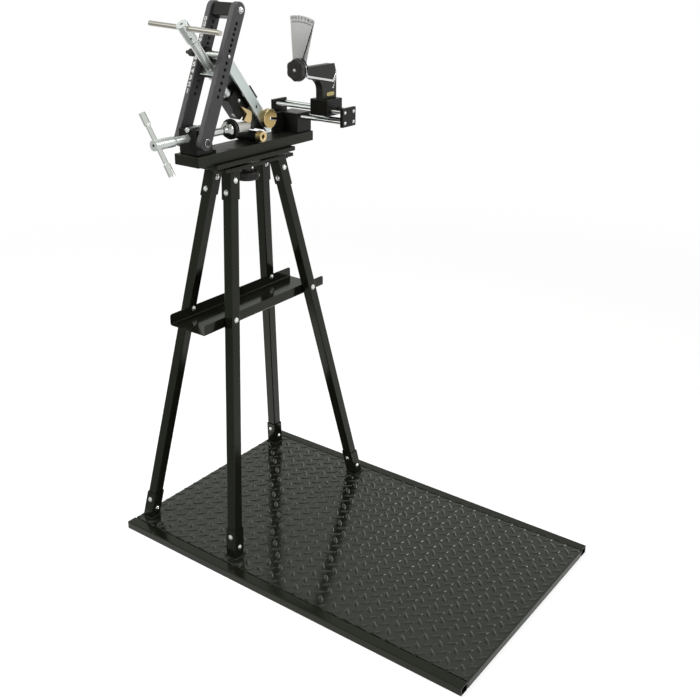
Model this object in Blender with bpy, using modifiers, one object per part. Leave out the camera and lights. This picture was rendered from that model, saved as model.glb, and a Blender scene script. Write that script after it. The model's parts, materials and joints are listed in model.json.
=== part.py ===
"""Club bending machine on its four-leg stand, bolted to a tread-plate platform.

Metres, +Z up. The origin is on the floor under the middle of the platform. +X runs along
the platform from the machine's end to the free end, and +Y runs along the machine's base
bar towards its gauge.
"""
import math

import bmesh
import bpy
from mathutils import Matrix

# Fits
GAP = 0.0003              # between pieces that touch
FIT = 0.0003              # radial, round pins and rods and inside sockets
THREAD_FIT = 0.0004       # radial, round screw threads
CUT = 0.01                # how far a cutter reaches past what it cuts

# Platform
PLATFORM_LENGTH = 1.2192
PLATFORM_WIDTH = 0.762
RAIL_HEIGHT = 0.0254
RAIL_WIDTH = 0.03175
TUBE_WALL = 0.0025
TREAD_THICKNESS = 0.0045
TREAD_LIP = 0.016
STIFFENER_WIDTH = 0.0254

# Stand
STAND_FROM_END = 0.2096   # middle of the stand in from the platform's machine end
STAND_X = STAND_FROM_END - PLATFORM_LENGTH / 2
STAND_HEIGHT = 1.1485     # floor to the top of the stand's plate
LEG_SIZE = 0.03175
FOOT_X = 0.181            # leg centre lines at the tread plate, from the stand's middle
FOOT_Y = 0.306
HEAD_X = 0.0313           # leg centre lines under the stand's plate
HEAD_Y = 0.1007
SOCKET_WALL = 0.0025
FOOT_SOCKET_LENGTH = 0.085
HEAD_SOCKET_LENGTH = 0.080
TOP_PLATE_LENGTH = 0.290
TOP_PLATE_WIDTH = 0.114
TOP_PLATE_THICKNESS = 0.010

# Tool shelf
SHELF_HEIGHT = 0.699      # floor to the underside of the tray
SHELF_LENGTH = 0.542
SHELF_FLANGE = 0.033
SHEET = 0.002
SHELF_CORNER = 0.008
SHELF_BEND = 0.004

# Swivel between the stand and the machine
SWIVEL_WASHER = 0.0052
SWIVEL_WASHER_RADIUS = 0.045
SWIVEL_PLATE_LENGTH = 0.3336
SWIVEL_PLATE_Y = -0.0127
SWIVEL_PLATE_WIDTH = 0.114
SWIVEL_PLATE_THICKNESS = 0.0125
STUD_RADIUS = 0.009
STUD_END = 0.012          # stud end above the knob's underside
KNOB_RADIUS = 0.036
KNOB_HEIGHT = 0.026
KNOB_NECK_RADIUS = 0.016
KNOB_NECK_HEIGHT = 0.024

# Machine base bar. Heights below are above the bar's top face.
BAR_LENGTH = 0.4935
BAR_WIDTH = 0.0893
BAR_THICKNESS = 0.0295
BAR_Y = 0.00875           # middle of the bar from the swivel's axis

# Screw block and swing frame
BLOCK_WIDTH = 0.066
BLOCK_LENGTH = 0.060
BLOCK_HEIGHT = 0.068
BLOCK_INSET = 0.010       # from the bar's end
ARM_PIVOT_INSET = 0.019   # from the block's outer face
ARM_PIVOT_HEIGHT = 0.036
ARM_LEAN = 24.4           # degrees from upright, towards the gauge
ARM_LENGTH = 0.357        # pivot to top bolt
ARM_WIDTH = 0.044
ARM_THICKNESS = 0.018
ARM_HOLE_RADIUS = 0.0048
UPPER_HOLE_PITCH = 0.0146  # above the cross pin
LOWER_HOLE_PITCH = 0.0182  # below it
UPPER_HOLE_COUNT = 6
LOWER_HOLE_COUNT = 6
PIN_DROP = 0.1234         # the cross pin's hole from the top bolt
SHOULDER_RADIUS = 0.008
PIVOT_HEAD_RADIUS = 0.0105
PIVOT_HEAD_HEIGHT = 0.007
PIVOT_BOLT_DEPTH = 0.016  # into the block
SPREADER_HEIGHT = 0.036
SPREADER_DEPTH = 0.030
SPREADER_DROP = 0.003     # its middle below the top bolt

# Cross pin
PIN_NOSE = 0.004
PIN_KNOB_RADIUS = 0.0105
PIN_KNOB_LENGTH = 0.042
PIN_NUB_RADIUS = 0.005
PIN_NUB_LENGTH = 0.009
PIN_IN_KNOB = 0.014

# Hold-down clamp. It hangs on the cross pin and slopes down to the vise.
CLAMP_SLOPE = 51.2        # degrees below level
SLEEVE_RADIUS = 0.010
CLAMP_PLATE_THICKNESS = 0.008
CLAMP_PLATE_WIDTH = 0.030
CLAMP_PLATE_OFFSET = 0.0054  # plate middle from the pin, square to the slope
CLAMP_PLATE_REACH = 0.2884  # pin to the plate's tip
CLAMP_EYE_RADIUS = 0.0145
TIP_RADIUS = 0.012
PLATE_HOLE_RADIUS = 0.0045
PLATE_HOLE_REACH = 0.1954   # from the pin, down the slope
TOP_SCREW_OFFSET = 0.0351   # screw axis from the pin
TOP_SCREW_RADIUS = 0.0125
TOP_HUB_RADIUS = 0.016
TOP_HUB_LENGTH = 0.056
TOP_HUB_END = 0.1389        # hub end from the pin, up the slope
TOP_SCREW_REACH = 0.1211    # screw nose from the pin, down the slope
NOSE_RADIUS = 0.008
NOSE_LENGTH = 0.005
TOP_BAR_RADIUS = 0.007
TOP_BAR_LENGTH = 0.263
TOP_BAR_DROP = 0.014        # bar axis below the hub's end
TOP_BAR_TURN = -2.7         # degrees
NUT_BLOCK_TOP = 0.0159      # from the pin, down the slope
NUT_BLOCK_LENGTH = 0.012
NUT_BOSS_RADIUS = 0.018
NUT_BOSS_LENGTH = 0.022
NUT_BLOCK_LOW = 0.0566      # from the pin, square to the slope
NUT_BLOCK_HIGH = 0.0174
JAW_LENGTH = 0.070
JAW_LOW = 0.018             # from the screw axis, away from the clamp bar
JAW_NOSE_POCKET = 0.006
BRASS_JAW_THICKNESS = 0.010
BRASS_JAW_HEAD = 0.045      # brass jaw's upper end below the jaw holder's
BRASS_JAW_LENGTH = 0.056
BRASS_JAW_WIDTH = 0.024
NOTCH_DEPTH = 0.009
NOTCH_WIDTH = 0.018
NOTCH_RISE = 0.029          # notch middle above the brass jaw's tip
DISC_RADIUS = 0.027
DISC_THICKNESS = 0.014
DISC_REACH = 0.2504          # from the pin, down the slope
DISC_OFFSET = 0.0154
DISC_SLOT = 0.009
DISC_BORE = 0.004

# Side clamp along the bar
SIDE_AXIS_HEIGHT = 0.0445
SIDE_SCREW_RADIUS = 0.0105
SIDE_HUB_RADIUS = 0.0145
SIDE_HUB_LENGTH = 0.072
SIDE_HUB_STANDOFF = 0.051   # hub's inner end from the block
SIDE_BAR_RADIUS = 0.0068
SIDE_BAR_LENGTH = 0.180
SIDE_BAR_SLEEVE_RADIUS = 0.0095
SIDE_BAR_SLEEVE_LENGTH = 0.034
SIDE_BAR_DROP = 0.013       # bar axis from the hub's end
SIDE_BAR_TURN = 32.8        # degrees from upright
SIDE_NOSE_RADIUS = 0.007
CUP_BACK = 0.0735           # pad cup's back from the block
CUP_COLLAR_RADIUS = 0.012
CUP_COLLAR_LENGTH = 0.013
CUP_RADIUS = 0.0225
CUP_FLARE = 0.008
CUP_LENGTH = 0.0265
RING_RADIUS = 0.0285
RING_LENGTH = 0.015
PAD_WASHER_RADIUS = 0.0245
PAD_WASHER_LENGTH = 0.007
PAD_NOSE_RADIUS = 0.0155
PAD_NOSE_LENGTH = 0.057

# Vise under the hold-down jaw
VISE_Y = 0.0164
VISE_RADIUS = 0.018
VISE_FLAT = 0.0275          # flat top above the bar
VISE_FAR_END = 0.0445
VISE_NEAR_END = 0.036
BUSH_RADIUS = 0.0163
BUSH_FLANGE = 0.009
BUSH_SPIGOT_RADIUS = 0.0075
BUSH_SPIGOT_LENGTH = 0.020
BUSH_BORE = 0.006
BUSH_BORE_DEPTH = 0.007

# Gauge
GAUGE_BLOCK_WIDTH = 0.074
GAUGE_BLOCK_LENGTH = 0.0655
GAUGE_BLOCK_HEIGHT = 0.0575
ROD_RADIUS = 0.0055
ROD_SPACING = 0.041         # across
ROD_RISE = 0.030            # lower rods to upper rods
ROD_COVER = 0.011           # lower rod axis below the gauge block's top
ROD_OFFSET = 0.00125        # rod pair's middle from the gauge block's
ROD_FAR_END = 0.057         # far rod plate's inner face from the machine's middle
ROD_LENGTH = 0.250          # between the rod plates
ROD_PLATE_WIDTH = 0.064
ROD_PLATE_HEIGHT = 0.054
ROD_PLATE_THICKNESS = 0.010
CARRIAGE_X = 0.1185
CARRIAGE_LENGTH = 0.064
CARRIAGE_WIDTH = 0.072
CARRIAGE_HEIGHT = 0.0465
CARRIAGE_DROP = 0.0155      # underside below the upper rods' axis
POST_THICKNESS = 0.025
POST_WIDTH = 0.066
POST_HEIGHT = 0.0961
POST_ARM_WIDTH = 0.026
POST_FILLET = 0.035
POST_ARM_TAPER = 0.0117    # the arm is this much deeper at the post
TILT_Y = -0.088             # tilt pivot from the rods' middle
TILT_PIN_RADIUS = 0.006
ARM_PLATE_THICKNESS = 0.0077
ARM_PLATE_TAIL = 0.0235     # from the tilt pivot, away from the scale
ARM_PLATE_TOP = 0.0154      # above the tilt pivot
ARM_PLATE_REACH = 0.1014    # pivot to the top corner
ARM_CORNER_REACH = 0.1097   # pivot to the corner by the scale
ARM_CORNER_DROP = 0.0081
HEEL_REACH = 0.0935
HEEL_DROP = 0.0295
TAIL_DROP = 0.006
POINTER_HEIGHT = 0.0065     # of the bar under the arm plate
POINTER_TIP = 0.008
FLANGE_THICKNESS = 0.005
FLANGE_PROUD = 0.001        # past the arm plate's tail
FLANGE_REACH = 0.0485       # from the arm plate's outer face
DIAL_X = 0.0285             # dial axis from the arm plate's outer face
DIAL_RISE = 0.0069          # above the tilt pivot
DIAL_STUD_RADIUS = 0.0037
FAN_THICKNESS = 0.0033
FAN_RADIUS = 0.1447
FAN_ROOT = 0.030            # where its straight sides start, from the dial axis
FAN_ROOT_HALF = 0.0248
FAN_TOP_HALF = 0.0425
FAN_HUB_RADIUS = 0.020
FAN_TILT = 5.5              # degrees towards +X
NEEDLE_THICKNESS = 0.0018
NEEDLE_LENGTH = 0.138
NEEDLE_HUB = 0.010
NEEDLE_TIP_HALF = 0.0009
NEEDLE_ANGLE = 22.0         # degrees from upright
DIAL_KNOB_RADIUS = 0.030
DIAL_KNOB_LOBE = 0.002
DIAL_KNOB_LOBES = 6
DIAL_KNOB_DEPTH = 0.0165
DIAL_KNOB_WALL = 0.0035     # in front of the stud's end

# Facets
ROUND = 32
SMALL_ROUND = 16
HOLE_ROUND = 10
EDGE = 0.0015             # broken edges on blocks and bars

for old in list(bpy.data.objects):
    bpy.data.objects.remove(old, do_unlink=True)

parts = bpy.data.collections.new("bending_machine_stand")
cutters = bpy.data.collections.new("cutters")
bpy.context.scene.collection.children.link(parts)
bpy.context.scene.collection.children.link(cutters)

AXES = {
    "X": Matrix.Rotation(math.radians(90), 4, "Y"),
    "Y": Matrix.Rotation(math.radians(-90), 4, "X"),
    "Z": Matrix.Identity(4),
}
# A flat outline's own axes: across, up and through its thickness
PLANES = {
    "YZ": Matrix(((0, 0, 1, 0), (1, 0, 0, 0), (0, 1, 0, 0), (0, 0, 0, 1))),
    "XZ": Matrix.Rotation(math.radians(90), 4, "X"),
}


# Materials
def material(name, colour, roughness, metallic):
    """A plain surface with one colour."""
    made = bpy.data.materials.new(name)
    made.use_nodes = True
    shader = made.node_tree.nodes["Principled BSDF"]
    shader.inputs["Base Color"].default_value = (*colour, 1.0)
    shader.inputs["Roughness"].default_value = roughness
    shader.inputs["Metallic"].default_value = metallic
    return made


BLACK_PAINT = material("black_paint", (0.016, 0.017, 0.014), 0.32, 0.0)
TREAD_PAINT = material("tread_paint", (0.040, 0.045, 0.041), 0.30, 0.0)
BLACKED_STEEL = material("blacked_steel", (0.022, 0.022, 0.021), 0.42, 0.3)
GREY_ARM = material("grey_arm_finish", (0.045, 0.042, 0.048), 0.55, 0.0)
ZINC = material("zinc_plate", (0.60, 0.64, 0.65), 0.30, 1.0)
CHROME = material("chrome", (0.78, 0.78, 0.78), 0.10, 1.0)
STEEL = material("bright_steel", (0.62, 0.60, 0.56), 0.25, 1.0)
BRASS = material("brass", (0.72, 0.50, 0.22), 0.30, 1.0)
RUBBER = material("rubber", (0.012, 0.012, 0.012), 0.75, 0.0)
PLASTIC = material("black_plastic", (0.018, 0.017, 0.016), 0.50, 0.0)
GREY_DIAL = material("grey_dial", (0.36, 0.36, 0.35), 0.45, 0.5)


# Shape helpers
def place(obj, surface, parent, location, rotation):
    """Put a piece in the parts collection, or a cutter without a surface among the cutters."""
    if surface is None:
        cutters.objects.link(obj)
        obj.hide_render = True
        obj.display_type = "WIRE"
    else:
        parts.objects.link(obj)
        obj.data.materials.append(surface)
    obj.parent = parent
    obj.location = location
    obj.rotation_euler = rotation
    return obj


def pivot(name, parent=None, location=(0, 0, 0), rotation=(0, 0, 0)):
    """An empty that carries pieces, with its origin on their joint's axis."""
    empty = bpy.data.objects.new(name, None)
    parts.objects.link(empty)
    empty.parent = parent
    empty.location = location
    empty.rotation_euler = rotation
    return empty


def mesh_object(name, bm, smooth=False):
    """An object from a bmesh."""
    mesh = bpy.data.meshes.new(name)
    bm.to_mesh(mesh)
    bm.free()
    if smooth:
        mesh.shade_smooth()
        mesh.set_sharp_from_angle(angle=math.radians(35))
    return bpy.data.objects.new(name, mesh)


def box(name, size, surface=None, parent=None, location=(0, 0, 0), rotation=(0, 0, 0), edge=0.0):
    """A box about its middle, with broken edges where edge is given."""
    bm = bmesh.new()
    bmesh.ops.create_cube(bm, size=1.0, matrix=Matrix.Diagonal((*size, 1.0)))
    obj = place(mesh_object(name, bm), surface, parent, location, rotation)
    if edge:
        bevel = obj.modifiers.new("broken_edges", "BEVEL")
        bevel.width = edge
        bevel.segments = 1
        bevel.limit_method = "ANGLE"
    return obj


def cylinder(name, radius, length, surface=None, parent=None, location=(0, 0, 0), axis="Z",
             sides=SMALL_ROUND):
    """A round bar about its middle."""
    bm = bmesh.new()
    bmesh.ops.create_cone(bm, cap_ends=True, segments=sides, radius1=radius, radius2=radius,
                          depth=length, matrix=AXES[axis])
    return place(mesh_object(name, bm, smooth=True), surface, parent, location, (0, 0, 0))


def turned(name, profile, surface=None, parent=None, location=(0, 0, 0), rotation=(0, 0, 0),
           sides=ROUND):
    """A lathe piece: (radius, height) points from the top down, turned about Z."""
    bm = bmesh.new()
    points = [bm.verts.new((radius, 0.0, height)) for radius, height in profile]
    for upper, lower in zip(points, points[1:]):
        bm.edges.new((upper, lower))
    obj = place(mesh_object(name, bm), surface, parent, location, rotation)
    screw = obj.modifiers.new("turned", "SCREW")
    screw.axis = "Z"
    screw.steps = sides
    screw.render_steps = sides
    screw.use_merge_vertices = True
    screw.merge_threshold = 0.00001
    screw.use_smooth_shade = True
    return obj


def circle(centre, radius, sides):
    """Points round a circle."""
    turns = [2 * math.pi * step / sides for step in range(sides)]
    return [(centre[0] + radius * math.cos(turn), centre[1] + radius * math.sin(turn))
            for turn in turns]


def arc(centre, radius, start, end, steps):
    """Points along an arc between two angles in degrees."""
    angles = [math.radians(start + (end - start) * step / steps) for step in range(steps + 1)]
    return [(centre[0] + radius * math.cos(angle), centre[1] + radius * math.sin(angle))
            for angle in angles]


def outline(name, loops, thickness, plane, surface=None, parent=None, location=(0, 0, 0),
            rotation=(0, 0, 0)):
    """A flat piece: an outer loop and its holes, given thickness about the plane."""
    curve = bpy.data.curves.new(name, "CURVE")
    curve.dimensions = "2D"
    curve.fill_mode = "BOTH"
    curve.extrude = thickness / 2
    for loop in loops:
        spline = curve.splines.new("POLY")
        spline.points.add(len(loop) - 1)
        for point, (across, up) in zip(spline.points, loop):
            point.co = (across, up, 0.0, 1.0)
        spline.use_cyclic_u = True
    drawn = bpy.data.objects.new(name + "_outline", curve)
    bpy.context.scene.collection.objects.link(drawn)
    bpy.context.view_layer.update()
    filled = drawn.evaluated_get(bpy.context.evaluated_depsgraph_get())
    mesh = bpy.data.meshes.new_from_object(filled)
    bpy.data.objects.remove(drawn, do_unlink=True)
    bm = bmesh.new()
    bm.from_mesh(mesh)
    bpy.data.meshes.remove(mesh)
    bmesh.ops.remove_doubles(bm, verts=bm.verts, dist=0.000001)
    bmesh.ops.recalc_face_normals(bm, faces=bm.faces)
    bmesh.ops.transform(bm, matrix=PLANES[plane], verts=bm.verts)
    return place(mesh_object(name, bm), surface, parent, location, rotation)


def combine(obj, tool, operation="DIFFERENCE"):
    """Cut a tool out of a piece, join it on, or keep what they share."""
    boolean = obj.modifiers.new(tool.name, "BOOLEAN")
    boolean.operation = operation
    boolean.solver = "EXACT"
    boolean.object = tool


def bore(obj, radius, length, parent=None, location=(0, 0, 0), axis="Z", sides=SMALL_ROUND):
    """Drill a round hole."""
    name = "bore_{}_{}".format(obj.name, len(obj.modifiers))
    combine(obj, cylinder(name, radius, length, None, parent, location, axis, sides))


def square_tube(name, size, height, wall, surface, slope, location):
    """An upright square tube with level ends, leaned over by slope along X and Y."""
    outer = box(name, (size[0], size[1], height), surface, None, location)
    inner = box("bore_" + name, (size[0] - 2 * wall, size[1] - 2 * wall, height + 2 * CUT),
                None, None, location)
    lean = Matrix.Shear("XY", 4, slope)
    outer.data.transform(lean)
    inner.data.transform(lean)
    combine(outer, inner)
    return outer


# Platform: two open-ended rails, the tread plate with its end lips, and a stiffener below
def make_platform():
    rail_size = (PLATFORM_LENGTH, RAIL_WIDTH, RAIL_HEIGHT)
    bore_size = (PLATFORM_LENGTH + 2 * CUT, RAIL_WIDTH - 2 * TUBE_WALL, RAIL_HEIGHT - 2 * TUBE_WALL)
    for name, side in (("near_rail", -1), ("far_rail", 1)):
        where = (0, side * (PLATFORM_WIDTH - RAIL_WIDTH) / 2, RAIL_HEIGHT / 2)
        rail = box(name, rail_size, BLACK_PAINT, None, where)
        combine(rail, box("bore_" + name, bore_size, None, None, where))

    tread_width = PLATFORM_WIDTH - 2 * RAIL_WIDTH - 2 * GAP
    tread = box("tread_plate", (PLATFORM_LENGTH, tread_width, TREAD_LIP), TREAD_PAINT, None,
                (0, 0, RAIL_HEIGHT - TREAD_LIP / 2))
    hollow = (PLATFORM_LENGTH - 2 * TREAD_THICKNESS, tread_width + 2 * CUT, TREAD_LIP)
    combine(tread, box("tread_hollow", hollow, None, None,
                       (0, 0, RAIL_HEIGHT - TREAD_THICKNESS - TREAD_LIP / 2)))

    height = RAIL_HEIGHT - TREAD_THICKNESS - GAP
    length = PLATFORM_LENGTH - 2 * TREAD_THICKNESS - 2 * GAP
    stiffener = box("centre_stiffener", (length, STIFFENER_WIDTH, height), BLACK_PAINT, None,
                    (0, 0, height / 2))
    tunnel = (length + 2 * CUT, STIFFENER_WIDTH - 2 * TUBE_WALL, height - 2 * TUBE_WALL)
    combine(stiffener, box("stiffener_tunnel", tunnel, None, None, (0, 0, height / 2)))


# Stand: four leaning legs held in sockets at both ends
LEG_BOTTOM = RAIL_HEIGHT + GAP
LEG_TOP = STAND_HEIGHT - TOP_PLATE_THICKNESS - GAP
LEG_CORNERS = (("front", 1, -1), ("right", 1, 1), ("left", -1, -1), ("back", -1, 1))
LEAN_X = (HEAD_X - FOOT_X) / (LEG_TOP - LEG_BOTTOM)
LEAN_Y = (HEAD_Y - FOOT_Y) / (LEG_TOP - LEG_BOTTOM)
LEG_SECTION = (LEG_SIZE * math.hypot(1, LEAN_X), LEG_SIZE * math.hypot(1, LEAN_Y))


def leg_middle(side_x, side_y, height):
    """A leg's centre line at a height above the floor."""
    rise = height - LEG_BOTTOM
    return (STAND_X + side_x * (FOOT_X + LEAN_X * rise), side_y * (FOOT_Y + LEAN_Y * rise), height)


def make_legs():
    socket = [size + 2 * (FIT + SOCKET_WALL) for size in LEG_SECTION]
    for corner, side_x, side_y in LEG_CORNERS:
        slope = (side_x * LEAN_X, side_y * LEAN_Y)
        spans = (("leg_" + corner, LEG_SECTION, TUBE_WALL, BLACK_PAINT, LEG_BOTTOM, LEG_TOP),
                 ("foot_socket_" + corner, socket, SOCKET_WALL, BLACK_PAINT,
                  LEG_BOTTOM, LEG_BOTTOM + FOOT_SOCKET_LENGTH),
                 ("head_socket_" + corner, socket, SOCKET_WALL, BLACK_PAINT,
                  LEG_TOP - HEAD_SOCKET_LENGTH, LEG_TOP))
        for name, section, wall, surface, bottom, top in spans:
            square_tube(name, section, top - bottom, wall, surface, slope,
                        leg_middle(side_x, side_y, (bottom + top) / 2))


def make_stand_top():
    plate = box("stand_top_plate", (TOP_PLATE_WIDTH, TOP_PLATE_LENGTH, TOP_PLATE_THICKNESS),
                BLACK_PAINT, None, (STAND_X, 0, STAND_HEIGHT - TOP_PLATE_THICKNESS / 2), edge=EDGE)
    bore(plate, STUD_RADIUS + FIT, 4 * TOP_PLATE_THICKNESS, None, (STAND_X, 0, STAND_HEIGHT))


# Shelf: a folded tray between the legs, its flanges against their inner faces
def make_shelf():
    top = SHELF_HEIGHT + SHELF_FLANGE
    half = leg_middle(1, 1, top)[0] - STAND_X - LEG_SECTION[0] / 2 - GAP
    inside = half - SHEET
    bend = SHELF_BEND + SHEET
    section = [(half, top), (inside, top)]
    section += arc((inside - SHELF_BEND, SHELF_HEIGHT + bend), SHELF_BEND, 0, -90, 4)
    section += arc((SHELF_BEND - inside, SHELF_HEIGHT + bend), SHELF_BEND, 270, 180, 4)
    section += [(-inside, top), (-half, top)]
    section += arc((bend - half, SHELF_HEIGHT + bend), bend, 180, 270, 4)
    section += arc((half - bend, SHELF_HEIGHT + bend), bend, 270, 360, 4)
    tray = outline("tool_shelf", [section], SHELF_LENGTH, "XZ", BLACK_PAINT, None, (STAND_X, 0, 0))
    end = SHELF_LENGTH / 2
    low = SHELF_HEIGHT - CUT
    profile = [(-end, low), (end, low)]
    profile += arc((end - SHELF_CORNER, top - SHELF_CORNER), SHELF_CORNER, 0, 90, 4)
    profile += arc((SHELF_CORNER - end, top - SHELF_CORNER), SHELF_CORNER, 90, 180, 4)
    combine(tray, outline("shelf_end_profile", [profile], 4 * half, "YZ", None, None, (STAND_X, 0, 0)),
            "INTERSECT")


# Swivel: the plate under the machine turns on a stud, and a knob below the stand locks it
SWIVEL_PLATE_BASE = STAND_HEIGHT + SWIVEL_WASHER
BAR_TOP = SWIVEL_PLATE_BASE + SWIVEL_PLATE_THICKNESS + GAP + BAR_THICKNESS


def make_swivel(machine):
    base = SWIVEL_PLATE_BASE - BAR_TOP
    box("swivel_plate", (SWIVEL_PLATE_WIDTH, SWIVEL_PLATE_LENGTH, SWIVEL_PLATE_THICKNESS), BLACK_PAINT,
        machine, (0, SWIVEL_PLATE_Y, base + SWIVEL_PLATE_THICKNESS / 2), edge=EDGE)
    washer_low = base - SWIVEL_WASHER + GAP
    knob_top = base - SWIVEL_WASHER - TOP_PLATE_THICKNESS - GAP
    knob_low = knob_top - KNOB_NECK_HEIGHT - KNOB_HEIGHT
    stud_low = knob_low + STUD_END
    turned("swivel_stud", [(0, base - GAP), (SWIVEL_WASHER_RADIUS, base - GAP),
                           (SWIVEL_WASHER_RADIUS, washer_low), (STUD_RADIUS, washer_low),
                           (STUD_RADIUS, stud_low), (0, stud_low)], STEEL, machine)
    neck = knob_top - KNOB_NECK_HEIGHT
    knob = turned("clamp_knob", [(0, knob_top), (KNOB_NECK_RADIUS, knob_top), (KNOB_NECK_RADIUS, neck),
                                 (KNOB_RADIUS - EDGE, neck), (KNOB_RADIUS, neck - EDGE),
                                 (KNOB_RADIUS, knob_low + EDGE), (KNOB_RADIUS - EDGE, knob_low),
                                 (0, knob_low)], PLASTIC, machine)
    depth = knob_top + CUT - (stud_low - GAP)
    bore(knob, STUD_RADIUS + THREAD_FIT, depth, machine, (0, 0, stud_low - GAP + depth / 2))


# Base bar and screw block
BAR_END = BAR_Y - BAR_LENGTH / 2
BLOCK_FACE = BAR_END + BLOCK_INSET
ARM_PIVOT_Y = BLOCK_FACE + ARM_PIVOT_INSET
INNER_HALF = BLOCK_WIDTH / 2 + GAP      # inner face of each arm from the machine's middle
OUTER_HALF = INNER_HALF + ARM_THICKNESS


def make_base(machine):
    box("base_bar", (BAR_WIDTH, BAR_LENGTH, BAR_THICKNESS), BLACKED_STEEL, machine,
        (0, BAR_Y, -BAR_THICKNESS / 2), edge=EDGE)
    middle = (0, BLOCK_FACE + BLOCK_LENGTH / 2, GAP + BLOCK_HEIGHT / 2)
    block = box("screw_block", (BLOCK_WIDTH, BLOCK_LENGTH, BLOCK_HEIGHT), BLACKED_STEEL, machine,
                middle, edge=EDGE)
    bore(block, SIDE_SCREW_RADIUS + THREAD_FIT, BLOCK_LENGTH + 2 * CUT, machine,
         (0, middle[1], SIDE_AXIS_HEIGHT), "Y", ROUND)
    for side in (-1, 1):
        depth = PIVOT_BOLT_DEPTH + GAP + CUT
        place_x = side * (BLOCK_WIDTH / 2 + CUT - depth / 2)
        bore(block, SHOULDER_RADIUS + FIT, depth, machine, (place_x, ARM_PIVOT_Y, ARM_PIVOT_HEIGHT), "X")


# Swing frame: two drilled arms on shoulder bolts, joined by a spreader at the top
PIN_RADIUS = ARM_HOLE_RADIUS - FIT
PIN_RISE = ARM_LENGTH - PIN_DROP


def make_swing_frame(frame):
    half = ARM_WIDTH / 2
    shape = arc((0, 0), half, 180, 360, 12) + arc((0, ARM_LENGTH), half, 0, 180, 12)
    holes = [circle((0, 0), SHOULDER_RADIUS + FIT, SMALL_ROUND)]
    for number in range(-LOWER_HOLE_COUNT, UPPER_HOLE_COUNT + 1):
        pitch = UPPER_HOLE_PITCH if number > 0 else LOWER_HOLE_PITCH
        holes.append(circle((0, PIN_RISE + number * pitch), ARM_HOLE_RADIUS, HOLE_ROUND))
    for name, side in (("near_arm", 1), ("far_arm", -1)):
        outline(name, [shape] + holes, ARM_THICKNESS, "YZ", GREY_ARM, frame,
                (side * (INNER_HALF + ARM_THICKNESS / 2), 0, 0))
    box("arm_spreader", (2 * (INNER_HALF - GAP), SPREADER_DEPTH, SPREADER_HEIGHT), BLACKED_STEEL, frame,
        (0, 0, ARM_LENGTH - SPREADER_DROP), edge=EDGE)


def make_pivot_bolts(machine):
    head_base = OUTER_HALF + GAP
    head_top = head_base + PIVOT_HEAD_HEIGHT
    tail = BLOCK_WIDTH / 2 - PIVOT_BOLT_DEPTH
    profile = [(0, head_top), (PIVOT_HEAD_RADIUS - EDGE, head_top), (PIVOT_HEAD_RADIUS, head_top - EDGE),
               (PIVOT_HEAD_RADIUS, head_base), (SHOULDER_RADIUS, head_base), (SHOULDER_RADIUS, tail),
               (0, tail)]
    for name, turn in (("near_pivot_bolt", 90), ("far_pivot_bolt", -90)):
        turned(name, profile, ZINC, machine, (0, ARM_PIVOT_Y, ARM_PIVOT_HEIGHT),
               (0, math.radians(turn), 0), SMALL_ROUND)


def make_cross_pin(pin):
    far_end = -OUTER_HALF - GAP - PIN_IN_KNOB
    near_end = OUTER_HALF + PIN_NOSE
    cylinder("cross_pin", PIN_RADIUS, near_end - far_end, STEEL, pin, ((near_end + far_end) / 2, 0, 0),
             "X")
    face = OUTER_HALF + GAP
    end = face + PIN_KNOB_LENGTH
    round_end = PIN_KNOB_RADIUS / 3
    nub_end = end + PIN_NUB_LENGTH
    knob = turned("pin_knob", [(0, nub_end), (PIN_NUB_RADIUS - EDGE, nub_end),
                               (PIN_NUB_RADIUS, nub_end - EDGE), (PIN_NUB_RADIUS, end),
                               (PIN_KNOB_RADIUS - round_end, end), (PIN_KNOB_RADIUS, end - round_end),
                               (PIN_KNOB_RADIUS, face + EDGE), (PIN_KNOB_RADIUS - EDGE, face), (0, face)],
                  PLASTIC, pin, (0, 0, 0),
                  (0, math.radians(-90), 0))
    depth = PIN_IN_KNOB + GAP + CUT
    bore(knob, PIN_RADIUS + FIT, depth, pin, (-face + CUT - depth / 2, 0, 0), "X")


# Hold-down clamp, in its own frame: Z up the slope along the screw, Y square to the slope
PLATE_OUTER = INNER_HALF - GAP
PLATE_INNER = PLATE_OUTER - CLAMP_PLATE_THICKNESS
CORE_WIDTH = 2 * (PLATE_INNER - GAP)      # what fits between the clamp plates


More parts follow.
